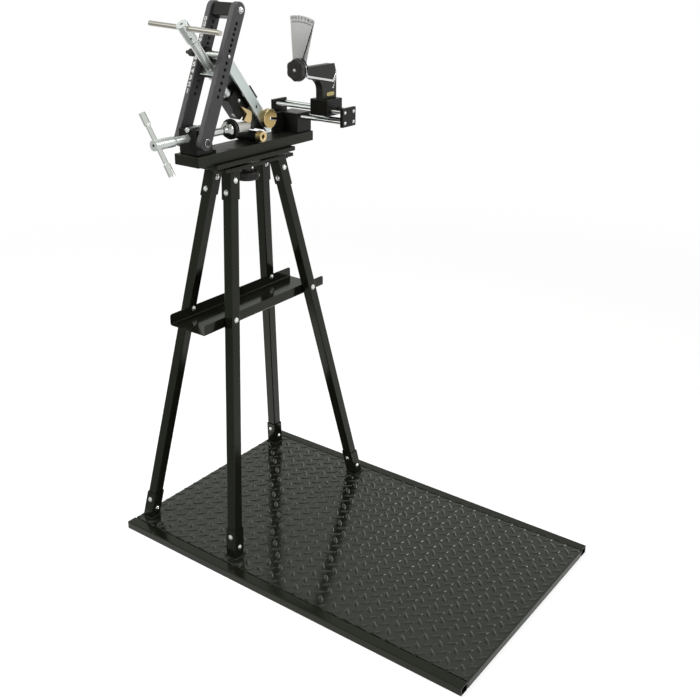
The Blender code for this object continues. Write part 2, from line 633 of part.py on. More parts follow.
def make_clamp(clamp):
    low = CLAMP_PLATE_OFFSET - CLAMP_PLATE_WIDTH / 2
    high = CLAMP_PLATE_OFFSET + CLAMP_PLATE_WIDTH / 2
    tip = -CLAMP_PLATE_REACH
    strip = arc((low + TIP_RADIUS, tip + TIP_RADIUS), TIP_RADIUS, 180, 270, 4)
    strip += arc((high - TIP_RADIUS, tip + TIP_RADIUS), TIP_RADIUS, 270, 360, 4)
    strip += arc((high - TIP_RADIUS, CLAMP_EYE_RADIUS - TIP_RADIUS), TIP_RADIUS, 0, 90, 4)
    eye_end = 360 - math.degrees(math.acos(max(-1, low / CLAMP_EYE_RADIUS)))   # where it meets the edge
    strip += arc((0, 0), CLAMP_EYE_RADIUS, 90, eye_end, 10)
    pin_hole = circle((0, 0), ARM_HOLE_RADIUS, HOLE_ROUND)
    tool_hole = circle((CLAMP_PLATE_OFFSET, -PLATE_HOLE_REACH), PLATE_HOLE_RADIUS, HOLE_ROUND)
    plate_middle = PLATE_INNER + CLAMP_PLATE_THICKNESS / 2
    outline("near_clamp_plate", [strip, pin_hole, tool_hole], CLAMP_PLATE_THICKNESS, "YZ", ZINC,
            clamp, (plate_middle, 0, 0))
    bar = outline("clamp_bar", [strip, pin_hole], CLAMP_PLATE_THICKNESS, "YZ", BLACKED_STEEL,
                  clamp, (-plate_middle, 0, 0))
    body_top = -NUT_BLOCK_TOP - NUT_BLOCK_LENGTH - GAP
    body_length = body_top - tip - TIP_RADIUS
    body_width = PLATE_INNER - GAP + plate_middle
    combine(bar, box("clamp_bar_body", (body_width, CLAMP_PLATE_WIDTH - 2 * EDGE, body_length), None,
                     clamp, (PLATE_INNER - GAP - body_width / 2, CLAMP_PLATE_OFFSET,
                             body_top - body_length / 2)), "UNION")
    sleeve = cylinder("clamp_sleeve", SLEEVE_RADIUS, CORE_WIDTH, ZINC, clamp, (0, 0, 0), "X", ROUND)
    bore(sleeve, ARM_HOLE_RADIUS, CORE_WIDTH + 2 * CUT, clamp, (0, 0, 0), "X", HOLE_ROUND)
    nut_middle = -NUT_BLOCK_TOP - NUT_BLOCK_LENGTH / 2
    nut = box("clamp_nut_block", (CORE_WIDTH, NUT_BLOCK_HIGH + NUT_BLOCK_LOW, NUT_BLOCK_LENGTH), ZINC,
              clamp, (0, (NUT_BLOCK_HIGH - NUT_BLOCK_LOW) / 2, nut_middle), edge=EDGE)
    boss = NUT_BLOCK_LENGTH / 2 + NUT_BOSS_LENGTH
    combine(nut, cylinder("nut_boss", NUT_BOSS_RADIUS, boss, None, clamp,
                          (0, -TOP_SCREW_OFFSET, nut_middle - boss / 2), "Z", ROUND), "UNION")
    bore(nut, TOP_SCREW_RADIUS + THREAD_FIT, 2 * (boss + CUT), clamp,
         (0, -TOP_SCREW_OFFSET, nut_middle), "Z", ROUND)
    disc_middle = PLATE_OUTER + GAP + DISC_THICKNESS / 2
    disc_place = (disc_middle, DISC_OFFSET, -DISC_REACH)
    disc = cylinder("slotted_brass_disc", DISC_RADIUS, DISC_THICKNESS, BRASS, clamp, disc_place, "X",
                    ROUND)
    bore(disc, DISC_BORE, DISC_THICKNESS + 2 * CUT, clamp, disc_place, "X", HOLE_ROUND)
    slot = box("disc_slot", (DISC_THICKNESS + 2 * CUT, DISC_RADIUS + CUT, DISC_SLOT), None, clamp,
               disc_place, (-math.radians(90 - CLAMP_SLOPE), 0, 0))
    slot.data.transform(Matrix.Translation((0, (DISC_RADIUS + CUT) / 2, 0)))
    combine(disc, slot)


def make_top_jaw(jaw):
    top = -TOP_SCREW_REACH - GAP + JAW_NOSE_POCKET
    brass_face = CORE_WIDTH / 2
    holder_face = brass_face - BRASS_JAW_THICKNESS - GAP
    width = holder_face + brass_face
    high = TOP_SCREW_OFFSET + CLAMP_PLATE_OFFSET - CLAMP_PLATE_WIDTH / 2 + EDGE - GAP
    holder = box("jaw_holder", (width, high + JAW_LOW, JAW_LENGTH), BLACKED_STEEL, jaw,
                 (holder_face - width / 2, (high - JAW_LOW) / 2, top - JAW_LENGTH / 2), edge=EDGE)
    bore(holder, NOSE_RADIUS + FIT, 2 * (JAW_NOSE_POCKET + GAP), jaw, (0, 0, top))
    half = BRASS_JAW_WIDTH / 2
    head = top - BRASS_JAW_HEAD
    tip = head - BRASS_JAW_LENGTH
    notch = tip + NOTCH_RISE
    shape = [(-half, head), (-half, notch + NOTCH_WIDTH / 2), (NOTCH_DEPTH - half, notch),
             (-half, notch - NOTCH_WIDTH / 2), (-half / 4, tip), (half, tip + half / 2), (half, head)]
    outline("brass_v_jaw", [shape], BRASS_JAW_THICKNESS, "YZ", BRASS, jaw,
            (brass_face - BRASS_JAW_THICKNESS / 2, 0, 0))


def make_top_screw(jaw):
    hub_low = TOP_HUB_END - TOP_HUB_LENGTH
    neck = NOSE_LENGTH + JAW_NOSE_POCKET - TOP_SCREW_REACH
    screw = turned("top_screw", [(0, TOP_HUB_END), (TOP_HUB_RADIUS - EDGE, TOP_HUB_END),
                                 (TOP_HUB_RADIUS, TOP_HUB_END - EDGE), (TOP_HUB_RADIUS, hub_low),
                                 (TOP_SCREW_RADIUS, hub_low), (TOP_SCREW_RADIUS, neck),
                                 (NOSE_RADIUS, neck), (NOSE_RADIUS, -TOP_SCREW_REACH),
                                 (0, -TOP_SCREW_REACH)], STEEL, jaw)
    height = TOP_HUB_END - TOP_BAR_DROP
    turn = Matrix.Rotation(math.radians(TOP_BAR_TURN), 4, "Z")
    hole = cylinder("top_bar_hole", TOP_BAR_RADIUS + FIT, 2 * TOP_HUB_RADIUS + 2 * CUT, None, jaw,
                    (0, 0, height), "X")
    hole.data.transform(turn)
    combine(screw, hole)
    bar = cylinder("top_t_bar", TOP_BAR_RADIUS, TOP_BAR_LENGTH, STEEL, jaw, (0, 0, height), "X")
    bar.data.transform(turn)


# Side clamp, in its own frame at the block's face: Z out along the screw towards its handle
def make_side_screw(side):
    hub_low = SIDE_HUB_STANDOFF
    hub_end = hub_low + SIDE_HUB_LENGTH
    nose = -BLOCK_LENGTH - CUP_BACK
    shoulder = nose + NOSE_LENGTH + GAP
    tail = nose - NOSE_LENGTH
    screw = turned("side_screw", [(0, hub_end), (SIDE_HUB_RADIUS - EDGE, hub_end),
                                  (SIDE_HUB_RADIUS, hub_end - EDGE), (SIDE_HUB_RADIUS, hub_low),
                                  (SIDE_SCREW_RADIUS, hub_low), (SIDE_SCREW_RADIUS, shoulder),
                                  (SIDE_NOSE_RADIUS, shoulder), (SIDE_NOSE_RADIUS, tail), (0, tail)],
                   ZINC, side)
    height = hub_end - SIDE_BAR_DROP
    turn = Matrix.Rotation(math.radians(90 + SIDE_BAR_TURN), 4, "Z")
    hole = cylinder("side_bar_hole", SIDE_BAR_RADIUS + FIT, 2 * SIDE_HUB_RADIUS + 2 * CUT, None, side,
                    (0, 0, height), "X")
    hole.data.transform(turn)
    combine(screw, hole)
    end = SIDE_BAR_LENGTH / 2
    step = end - SIDE_BAR_SLEEVE_LENGTH
    bar = turned("side_t_bar", [(0, end), (SIDE_BAR_SLEEVE_RADIUS, end), (SIDE_BAR_SLEEVE_RADIUS, step),
                                (SIDE_BAR_RADIUS, step), (SIDE_BAR_RADIUS, -step),
                                (SIDE_BAR_SLEEVE_RADIUS, -step), (SIDE_BAR_SLEEVE_RADIUS, -end),
                                (0, -end)], ZINC, side, (0, 0, height), sides=SMALL_ROUND)
    bar.rotation_euler = (turn @ AXES["X"]).to_euler()


def make_side_pad(side):
    back = -BLOCK_LENGTH - CUP_BACK
    collar = back - CUP_COLLAR_LENGTH
    flare = collar - CUP_FLARE
    front = back - CUP_LENGTH
    cup = turned("pad_cup", [(0, back), (CUP_COLLAR_RADIUS, back), (CUP_COLLAR_RADIUS, collar),
                             (CUP_RADIUS, flare), (CUP_RADIUS, front), (0, front)], CHROME, side)
    bore(cup, SIDE_NOSE_RADIUS + FIT, 2 * (NOSE_LENGTH + GAP), side, (0, 0, back))
    ring_back = front - GAP
    ring_front = ring_back - RING_LENGTH
    turned("pad_ring", [(0, ring_back), (RING_RADIUS - EDGE, ring_back), (RING_RADIUS, ring_back - EDGE),
                        (RING_RADIUS, ring_front + EDGE), (RING_RADIUS - EDGE, ring_front),
                        (0, ring_front)], RUBBER, side)
    washer_back = ring_front - GAP
    washer_front = washer_back - PAD_WASHER_LENGTH
    nose = washer_front - PAD_NOSE_LENGTH
    turned("pad_nose", [(0, washer_back), (PAD_WASHER_RADIUS, washer_back),
                        (PAD_WASHER_RADIUS, washer_front), (PAD_NOSE_RADIUS, washer_front),
                        (PAD_NOSE_RADIUS, nose + EDGE), (PAD_NOSE_RADIUS - EDGE, nose), (0, nose)],
           CHROME, side)


# Vise: a round body across the bar, flat on top, with a brass bush in its end
def make_vise(machine):
    axis_height = VISE_RADIUS + GAP
    length = VISE_FAR_END + VISE_NEAR_END
    body = cylinder("vise_body", VISE_RADIUS, length, BLACKED_STEEL, machine,
                    ((VISE_NEAR_END - VISE_FAR_END) / 2, VISE_Y, axis_height), "X", ROUND)
    flat = box("vise_flat", (length + 2 * CUT, 4 * VISE_RADIUS, 2 * VISE_RADIUS), None, machine,
               (0, VISE_Y, VISE_FLAT + VISE_RADIUS))
    combine(body, flat)
    socket = BUSH_SPIGOT_LENGTH + GAP + CUT
    bore(body, BUSH_SPIGOT_RADIUS + FIT, socket, machine,
         (VISE_NEAR_END + CUT - socket / 2, VISE_Y, axis_height), "X")
    flange = VISE_NEAR_END + GAP
    end = flange + BUSH_FLANGE
    spigot = VISE_NEAR_END - BUSH_SPIGOT_LENGTH
    bush = turned("brass_bush", [(0, end), (BUSH_RADIUS - EDGE, end), (BUSH_RADIUS, end - EDGE),
                                 (BUSH_RADIUS, flange), (BUSH_SPIGOT_RADIUS, flange),
                                 (BUSH_SPIGOT_RADIUS, spigot), (0, spigot)], BRASS, machine,
                  (0, VISE_Y, axis_height), (0, math.radians(90), 0))
    depth = BUSH_BORE_DEPTH + CUT
    bore(bush, BUSH_BORE, depth, machine, (end + CUT - depth / 2, VISE_Y, axis_height), "X")


# Gauge: a frame of four rods slides through its block and carries the carriage
GAUGE_Y = BAR_Y + BAR_LENGTH / 2 - GAUGE_BLOCK_LENGTH / 2
ROD_Y = GAUGE_Y + ROD_OFFSET
LOWER_ROD = GAP + GAUGE_BLOCK_HEIGHT - ROD_COVER


def make_gauge_block(machine):
    block = box("gauge_block", (GAUGE_BLOCK_WIDTH, GAUGE_BLOCK_LENGTH, GAUGE_BLOCK_HEIGHT), BLACKED_STEEL,
                machine, (0, GAUGE_Y, GAP + GAUGE_BLOCK_HEIGHT / 2), edge=EDGE)
    for across in (-1, 1):
        bore(block, ROD_RADIUS + FIT, GAUGE_BLOCK_WIDTH + 2 * CUT, machine,
             (0, ROD_Y + across * ROD_SPACING / 2, LOWER_ROD), "X")


def make_rod_frame(rods):
    middle = ROD_LENGTH / 2 - ROD_FAR_END
    for level, height in (("lower", 0), ("upper", ROD_RISE)):
        for side, across in (("inner", -1), ("outer", 1)):
            cylinder("{}_{}_rod".format(level, side), ROD_RADIUS, ROD_LENGTH - 2 * GAP, ZINC, rods,
                     (middle, across * ROD_SPACING / 2, height), "X")
    for name, face in (("near_rod_plate", ROD_LENGTH / 2), ("far_rod_plate", -ROD_LENGTH / 2)):
        outward = math.copysign(ROD_PLATE_THICKNESS / 2, face)
        box(name, (ROD_PLATE_THICKNESS, ROD_PLATE_WIDTH, ROD_PLATE_HEIGHT), BLACKED_STEEL, rods,
            (middle + face + outward, 0, ROD_RISE / 2), edge=EDGE)


def make_carriage(carriage):
    block = box("gauge_carriage", (CARRIAGE_LENGTH, CARRIAGE_WIDTH, CARRIAGE_HEIGHT), BLACKED_STEEL,
                carriage, (0, 0, CARRIAGE_HEIGHT / 2 - CARRIAGE_DROP), edge=EDGE)
    for across in (-1, 1):
        bore(block, ROD_RADIUS + FIT, CARRIAGE_LENGTH + 2 * CUT, carriage,
             (0, across * ROD_SPACING / 2, 0), "X")


# Post and tilting gauge arm. Heights are above the upper rods' axis.
POST_BASE = CARRIAGE_HEIGHT - CARRIAGE_DROP + GAP
POST_TOP = POST_BASE + POST_HEIGHT
TILT_HEIGHT = POST_TOP - POST_ARM_WIDTH / 2
ARM_PLATE_X = POST_THICKNESS / 2 + GAP     # back face of the gauge arm plate


def make_post(carriage):
    right = POST_WIDTH / 2
    left = -POST_WIDTH / 2
    arm_low = POST_TOP - POST_ARM_WIDTH
    corner = EDGE * 2
    shape = [(left, POST_BASE), (right, POST_BASE)]
    shape += arc((right - corner, POST_TOP - corner), corner, 0, 90, 2)
    shape += arc((TILT_Y, TILT_HEIGHT), POST_ARM_WIDTH / 2, 90, 270, 12)
    shape += arc((left - POST_FILLET, arm_low - POST_ARM_TAPER - POST_FILLET), POST_FILLET, 90, 0, 8)
    hole = circle((TILT_Y, TILT_HEIGHT), TILT_PIN_RADIUS + FIT, SMALL_ROUND)
    outline("gauge_post", [shape, hole], POST_THICKNESS, "YZ", BLACKED_STEEL, carriage)


def make_gauge_arm(tilt):
    tail = -ARM_PLATE_TAIL
    seat = tail - FLANGE_PROUD
    shape = [(tail, -TAIL_DROP), (HEEL_REACH, -HEEL_DROP), (ARM_CORNER_REACH, -ARM_CORNER_DROP),
             (ARM_PLATE_REACH, ARM_PLATE_TOP), (tail, ARM_PLATE_TOP)]
    arm = outline("gauge_arm", [shape], ARM_PLATE_THICKNESS, "YZ", BLACKED_STEEL, tilt,
                  (ARM_PLATE_THICKNESS / 2, 0, 0))
    pin = POST_THICKNESS + GAP
    combine(arm, cylinder("tilt_pin", TILT_PIN_RADIUS, pin + ARM_PLATE_THICKNESS / 2, None, tilt,
                          ((ARM_PLATE_THICKNESS / 2 - pin) / 2, 0, 0), "X"), "UNION")
    height = ARM_PLATE_TOP + TAIL_DROP
    combine(arm, box("dial_flange", (FLANGE_REACH - EDGE, FLANGE_THICKNESS, height - EDGE), None, tilt,
                     (ARM_PLATE_THICKNESS - EDGE / 2 - FLANGE_REACH / 2, seat + FLANGE_THICKNESS / 2,
                      (ARM_PLATE_TOP - TAIL_DROP) / 2)), "UNION")
    stud = FAN_THICKNESS + NEEDLE_THICKNESS + 3 * GAP + DIAL_KNOB_DEPTH - DIAL_KNOB_WALL
    combine(arm, cylinder("dial_stud", DIAL_STUD_RADIUS, stud + FLANGE_THICKNESS / 2, None, tilt,
                          (ARM_PLATE_THICKNESS - DIAL_X, seat + (FLANGE_THICKNESS / 2 - stud) / 2,
                           DIAL_RISE), "Y"), "UNION")
    under_tail = -TAIL_DROP - 2 * GAP
    under_heel = -HEEL_DROP - 2 * GAP
    tip_height = under_heel - POINTER_HEIGHT + POINTER_TIP * (under_heel - under_tail) / (HEEL_REACH - tail)
    pointer = [(tail, under_tail), (tail, under_tail - POINTER_HEIGHT),
               (HEEL_REACH, under_heel - POINTER_HEIGHT), (HEEL_REACH + POINTER_TIP, tip_height),
               (HEEL_REACH, under_heel)]
    outline("gauge_pointer", [pointer], ARM_PLATE_THICKNESS, "YZ", STEEL, tilt,
            (ARM_PLATE_THICKNESS / 2, 0, 0))


# Dial on the gauge arm's end: a fan-shaped scale, its needle and the knob that locks it
def make_dial(dial):
    back = -GAP
    half_angle = math.degrees(math.asin(FAN_TOP_HALF / FAN_RADIUS))
    fan_shape = arc((0, 0), FAN_RADIUS, 90 - half_angle, 90 + half_angle, 12)
    fan_shape += [(-FAN_ROOT_HALF, FAN_ROOT)]
    fan_shape += arc((0, 0), FAN_HUB_RADIUS, 180, 360, 12)
    fan_shape += [(FAN_ROOT_HALF, FAN_ROOT)]
    stud_hole = circle((0, 0), DIAL_STUD_RADIUS + FIT, HOLE_ROUND)
    outline("gauge_fan", [fan_shape, stud_hole], FAN_THICKNESS, "XZ", GREY_DIAL, dial,
            (0, back - FAN_THICKNESS / 2, 0), (0, math.radians(FAN_TILT), 0))
    needle_back = back - FAN_THICKNESS - GAP
    needle_shape = arc((0, 0), NEEDLE_HUB, 110, 430, 14)
    needle_shape += [(NEEDLE_TIP_HALF, NEEDLE_LENGTH), (-NEEDLE_TIP_HALF, NEEDLE_LENGTH)]
    outline("loft_needle", [needle_shape, stud_hole], NEEDLE_THICKNESS, "XZ", BLACKED_STEEL, dial,
            (0, needle_back - NEEDLE_THICKNESS / 2, 0), (0, math.radians(NEEDLE_ANGLE), 0))
    knob_back = needle_back - NEEDLE_THICKNESS - GAP
    steps = DIAL_KNOB_LOBES * 6
    lobed = []
    for step in range(steps):
        turn = 2 * math.pi * step / steps
        radius = DIAL_KNOB_RADIUS - DIAL_KNOB_LOBE * math.cos(DIAL_KNOB_LOBES * turn)
        lobed.append((radius * math.cos(turn), radius * math.sin(turn)))
    knob = outline("dial_knob", [lobed], DIAL_KNOB_DEPTH, "XZ", PLASTIC, dial,
                   (0, knob_back - DIAL_KNOB_DEPTH / 2, 0))
    depth = DIAL_KNOB_DEPTH - DIAL_KNOB_WALL + GAP + CUT
    bore(knob, DIAL_STUD_RADIUS + FIT, depth, dial, (0, knob_back + CUT - depth / 2, 0), "Y", HOLE_ROUND)


def build():
    make_platform()
    make_legs()
    make_stand_top()
    make_shelf()
    machine = pivot("machine_swivel", None, (STAND_X, 0, BAR_TOP))
    make_swivel(machine)
    make_base(machine)
    make_pivot_bolts(machine)
    make_vise(machine)
    make_gauge_block(machine)

    frame = pivot("swing_frame", machine, (0, ARM_PIVOT_Y, ARM_PIVOT_HEIGHT),
                  (-math.radians(ARM_LEAN), 0, 0))
    make_swing_frame(frame)
    make_cross_pin(pivot("cross_pin_slide", frame, (0, 0, PIN_RISE)))
    clamp = pivot("clamp_swing", frame, (0, 0, PIN_RISE), (math.radians(90 - CLAMP_SLOPE + ARM_LEAN), 0, 0))
    make_clamp(clamp)
    jaw = pivot("top_screw_axis", clamp, (0, -TOP_SCREW_OFFSET, 0))
    make_top_jaw(jaw)
    make_top_screw(jaw)

    side = pivot("side_screw_axis", machine, (0, BLOCK_FACE, SIDE_AXIS_HEIGHT), (math.radians(90), 0, 0))
    make_side_screw(side)
    make_side_pad(side)

    rods = pivot("rod_frame_slide", machine, (0, ROD_Y, LOWER_ROD))
    make_rod_frame(rods)
    carriage = pivot("carriage_slide", rods, (CARRIAGE_X, 0, ROD_RISE))
    make_carriage(carriage)
    make_post(carriage)
    tilt = pivot("gauge_tilt", carriage, (ARM_PLATE_X, TILT_Y, TILT_HEIGHT))
    make_gauge_arm(tilt)
    dial = pivot("dial_axis", tilt,
                 (ARM_PLATE_THICKNESS - DIAL_X, -ARM_PLATE_TAIL - FLANGE_PROUD, DIAL_RISE))
    make_dial(dial)


build()
bpy.context.view_layer.update()
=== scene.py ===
# %% [markdown]
# # A club bending machine on its stand
# The imported CAD model is the frame of this picture. Every piece below takes its place from that frame and
# rides on one of its bodies, so the machine still moves as the CAD says. We start by loading it; the boxes
# of its parts are read from it as they are needed.

# %% Load the imported frame
import json
import math

import bmesh
import bpy
from mathutils import Matrix, Vector


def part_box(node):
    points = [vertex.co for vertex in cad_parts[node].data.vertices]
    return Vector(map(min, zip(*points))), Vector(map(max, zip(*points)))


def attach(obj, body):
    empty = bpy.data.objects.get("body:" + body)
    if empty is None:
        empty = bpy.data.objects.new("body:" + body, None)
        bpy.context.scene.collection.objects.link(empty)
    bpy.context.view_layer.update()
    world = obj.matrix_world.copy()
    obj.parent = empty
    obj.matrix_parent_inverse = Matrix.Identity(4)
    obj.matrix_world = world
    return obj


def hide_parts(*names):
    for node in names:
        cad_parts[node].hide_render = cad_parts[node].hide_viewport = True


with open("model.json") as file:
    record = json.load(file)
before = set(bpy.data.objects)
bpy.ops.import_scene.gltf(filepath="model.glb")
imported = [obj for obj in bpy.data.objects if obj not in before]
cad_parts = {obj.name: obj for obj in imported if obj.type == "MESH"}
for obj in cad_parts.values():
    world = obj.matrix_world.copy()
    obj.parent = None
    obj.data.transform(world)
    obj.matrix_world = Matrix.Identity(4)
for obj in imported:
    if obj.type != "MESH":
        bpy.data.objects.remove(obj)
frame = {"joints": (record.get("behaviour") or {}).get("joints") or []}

scene = bpy.context.scene
scene.view_settings.view_transform = "Standard"
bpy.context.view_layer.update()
joint_place = {joint["name"]: joint["pos_m"] for joint in frame["joints"] if "pos_m" in joint}

# %% [markdown]
# The photograph looks down on the machine from its near right corner. A camera can be aimed by eye, but
# here its place, turn and lens were worked out from points on the stand whose size is known, so the
# picture's lines fall where the real ones do.

# %% Camera
CAMERA_PLACE = (1.4552, -2.0380, 1.7549)
CAMERA_TURN = (66.228, -0.632, 36.217)     # degrees about X, Y and Z
CAMERA_LENS = 49.083


def placed(name, data):
    """A new object in the scene, from a mesh, curve, camera or lamp."""
    made = bpy.data.objects.new(name, data)
    scene.collection.objects.link(made)
    return made


camera_data = bpy.data.cameras.new("photo_camera")
camera_data.lens = CAMERA_LENS
camera = placed("photo_camera", camera_data)
camera.location = CAMERA_PLACE
camera.rotation_euler = [math.radians(angle) for angle in CAMERA_TURN]
scene.camera = camera
print("camera lens", camera_data.lens)

# %% [markdown]
# Node trees are built in code all through this lesson, for surfaces and for shapes. One small helper adds
# a node, sets what is a plain value and links what is a socket. The others wrap the few nodes that come
# back again and again, which keeps the trees readable.


# %% Helpers for node trees
def add(tree, kind, inputs=None, **settings):
    """Add a node; each input is a plain value or another node's output socket."""
    node = tree.nodes.new(kind)
    for name, value in settings.items():
        setattr(node, name, value)
    for name, value in (inputs or {}).items():
        if isinstance(value, bpy.types.NodeSocket):
            tree.links.new(value, node.inputs[name])
        else:
            node.inputs[name].default_value = value
    return node


def maths(tree, operation, *values):
    """The result of a Math node; each value is a number or a socket."""
    return add(tree, "ShaderNodeMath", dict(enumerate(values)), operation=operation).outputs[0]


def ranged(tree, value, start, end, low=0.0, high=1.0, curve="LINEAR"):
    """A value stretched from one range to another."""
    stretch = add(tree, "ShaderNodeMapRange", {"Value": value, "From Min": start, "From Max": end,
                                               "To Min": low, "To Max": high}, interpolation_type=curve)
    return stretch.outputs["Result"]


def blend_colours(tree, share, first, second):
    """Mix two colours, or a colour and a socket, by a share from 0 to 1."""
    mix = add(tree, "ShaderNodeMix", {"Factor": share}, data_type="RGBA")
    slots = [socket for socket in mix.inputs if socket.type == "RGBA"]
    for socket, value in zip(slots, (first, second)):
        if isinstance(value, bpy.types.NodeSocket):
            tree.links.new(value, socket)
        else:
            socket.default_value = (*value, 1.0)
    return [socket for socket in mix.outputs if socket.type == "RGBA"][0]


def blend_shaders(tree, share, first, second):
    """Mix two shader nodes by a share from 0 to 1."""
    return add(tree, "ShaderNodeMixShader", {"Fac": share, 1: first.outputs[0], 2: second.outputs[0]})


print("node helpers: add, maths, ranged, blend_colours, blend_shaders")

# %% [markdown]
# The studio is a white floor under soft lamps. Black enamel shows little colour of its own, only what it
# mirrors, so the surroundings matter: white at the horizon, as a studio sweep is, and darker above it. The
# floor fades to plain white away from the machine, and near it keeps the machine's shadow. Only rays that
# see the background get that white, so it adds no light to the object.

# %% Sky and floor
HORIZON, CEILING = (1.0, 1.0, 1.0), (0.725, 0.75, 0.70)
SWEEP_FADE = (0.10, 0.30)  # heights on the sky, as sines, between which the white sweep fades out
SKY_LIGHT = 0.45           # the sky's strength for matte surfaces, which the lamps light as well
FLOOR_HALF = 40.0
FLOOR_WHITE, FLOOR_GLOW = 0.34, 0.76
FLOOR_FADE = (1.6, 4.5)    # from the shadow's edge to plain white, in metres from the middle
SQUARE = ((-1, -1), (1, -1), (1, 1), (-1, 1))


def light_path_white(tree):
    """One for rays that should see the plain background: camera, glossy and transmission."""
    path = add(tree, "ShaderNodeLightPath").outputs
    seen = maths(tree, "MAXIMUM", path["Is Camera Ray"], path["Is Glossy Ray"])
    return maths(tree, "MAXIMUM", seen, path["Is Transmission Ray"])


def bare_tree(owner):
    """The emptied node tree of a world or a material."""
    owner.use_nodes = True
    owner.node_tree.nodes.clear()
    return owner.node_tree


def flat_sheet(name, corners, finish):
    """A single face with four corners."""
    mesh = bpy.data.meshes.new(name)
    mesh.from_pydata([tuple(corner) for corner in corners], [], [(0, 1, 2, 3)])
    mesh.materials.append(finish)
    return placed(name, mesh)


scene.world = bpy.data.worlds.new("studio")
tree = bare_tree(scene.world)
direction = add(tree, "ShaderNodeTexCoord").outputs["Generated"]
height = add(tree, "ShaderNodeSeparateXYZ", {"Vector": direction}).outputs["Z"]
sky = blend_colours(tree, ranged(tree, height, *SWEEP_FADE, curve="SMOOTHSTEP"), HORIZON, CEILING)
shown = add(tree, "ShaderNodeBackground", {"Color": sky, "Strength": 1.0})
light = add(tree, "ShaderNodeBackground", {"Color": sky, "Strength": SKY_LIGHT})
mixed = blend_shaders(tree, light_path_white(tree), light, shown)
add(tree, "ShaderNodeOutputWorld", {"Surface": mixed.outputs[0]})

floor_paint = bpy.data.materials.new("studio_floor_white")
tree = bare_tree(floor_paint)
place = add(tree, "ShaderNodeTexCoord").outputs["Object"]
reach = add(tree, "ShaderNodeVectorMath", {0: place}, operation="LENGTH").outputs["Value"]
matte = add(tree, "ShaderNodeBsdfDiffuse", {"Color": (FLOOR_WHITE, FLOOR_WHITE, FLOOR_WHITE, 1.0)})
glow = add(tree, "ShaderNodeEmission", {"Strength": FLOOR_GLOW})
near = add(tree, "ShaderNodeAddShader", {0: matte.outputs[0], 1: glow.outputs[0]})
far = add(tree, "ShaderNodeEmission", {"Strength": 1.0})
shown = blend_shaders(tree, ranged(tree, reach, *FLOOR_FADE, curve="SMOOTHSTEP"), near, far)
mixed = blend_shaders(tree, light_path_white(tree), matte, shown)
add(tree, "ShaderNodeOutputMaterial", {"Surface": mixed.outputs[0]})
floor = flat_sheet("studio_floor", [(x * FLOOR_HALF, y * FLOOR_HALF, 0) for x, y in SQUARE], floor_paint)
print("floor", 2 * FLOOR_HALF, "m wide")

# %% [markdown]
# A photographer sets cards round a glossy object, out of the picture. Two dark ones beside the camera make
# one side of each leg read darker than the other. Two bright ones at the back and the right give the tread
# plate's lugs their glints. The main lamp is a softbox high on the left. What mirrors show of a lamp is a
# card too, so bright metal keeps its tone instead of burning out.

# %% Cards and lamps
DARK_CARD, BACK_GLOW, RIGHT_GLOW = 0.48, 3.0, 11.0
CARD_TINT = (0.96, 1.0, 0.93, 1.0)
FLOOR_CARD = ((-3.4, -2.9), (0.9, -2.9), (0.9, -0.42), (-3.4, -0.42))
FLOOR_CARD_LEVEL = 0.001


def studio_card(name, corners, brightness):
    """A flat card that only mirrors see."""
    finish = bpy.data.materials.new(name + "_matte")
    tree = bare_tree(finish)
    dim = add(tree, "ShaderNodeEmission", {"Color": CARD_TINT, "Strength": brightness})
    add(tree, "ShaderNodeOutputMaterial", {"Surface": dim.outputs[0]})
    card = flat_sheet(name, corners, finish)
    card.visible_camera = False
    card.visible_diffuse = False
    card.visible_shadow = False


def upright(start, end, low, high):
    """Corners of an upright card above a line on the floor."""
    return [(*start, low), (*end, low), (*end, high), (*start, high)]


studio_card("standing_card", upright((-3.33, -1.03), (-0.87, -3.37), 0.0, 1.85), DARK_CARD)
studio_card("floor_card", [(x, y, FLOOR_CARD_LEVEL) for x, y in FLOOR_CARD], DARK_CARD)
studio_card("back_strip", upright((-1.0, 3.0), (0.7, 3.0), 0.75, 1.15), BACK_GLOW)
studio_card("right_back_card", upright((2.1, 0.7), (1.4, 1.65), 2.15, 3.0), RIGHT_GLOW)

# Each lamp: name, place, what it is aimed at, width, power in watts, and how bright mirrors show it
LAMPS = (
    ("left_softbox", (-1.8, -1.8, 2.9), (-0.4, -0.1, 1.0), 1.5, 95, 2.0),
    ("right_softbox", (3.0, -0.2, 1.6), (-0.4, 0.0, 1.0), 1.0, 42, 2.0),
    ("top_softbox", (-0.3, 0.3, 3.6), (-0.3, 0.0, 0.9), 1.8, 26, 1.2),
)
for name, spot, aim, width, power, mirrored in LAMPS:
    aimed = (Vector(aim) - Vector(spot)).to_track_quat("-Z", "Y")
    lamp_data = bpy.data.lights.new(name, "AREA")
    lamp_data.size = width
    lamp_data.energy = power
    lamp = placed(name, lamp_data)
    lamp.location = spot
    lamp.rotation_euler = aimed.to_euler()
    lamp.visible_camera = False
    lamp.visible_glossy = False
    studio_card(name + "_front", [Vector(spot) + aimed @ Vector((x * width / 2, y * width / 2, 0))
                                  for x, y in SQUARE], mirrored)
print("lamps", len(LAMPS))

# %% [markdown]
# Paint on this stand is gloss enamel over steel. Real enamel is never one flat colour: it drifts a little,
# its surface has a fine orange peel, and it rubs through first along the edges. The recipe mixes slow
# noise into the colour and gloss, fine noise into the bump, and reads an attribute named worn_edge that
# the rounded edges of the pieces carry. Plastic, rubber and printed marks use the same recipe.

# %% Recipe for paint
DRIFT_CYCLES, DRIFT_SHADES = 7.0, (0.75, 1.25)  # slow drift: cycles a metre, darkest and lightest share
PATCH_CYCLES = 55.0                             # patches in which a rubbed edge shows
PATCH_RANGE, PATCH_WEAR = (0.45, 0.7), 0.6
PAINT_GLOSS = (0.8, 1.3)                        # shares of the roughness, over the patches
PEEL_STRENGTH = 0.25


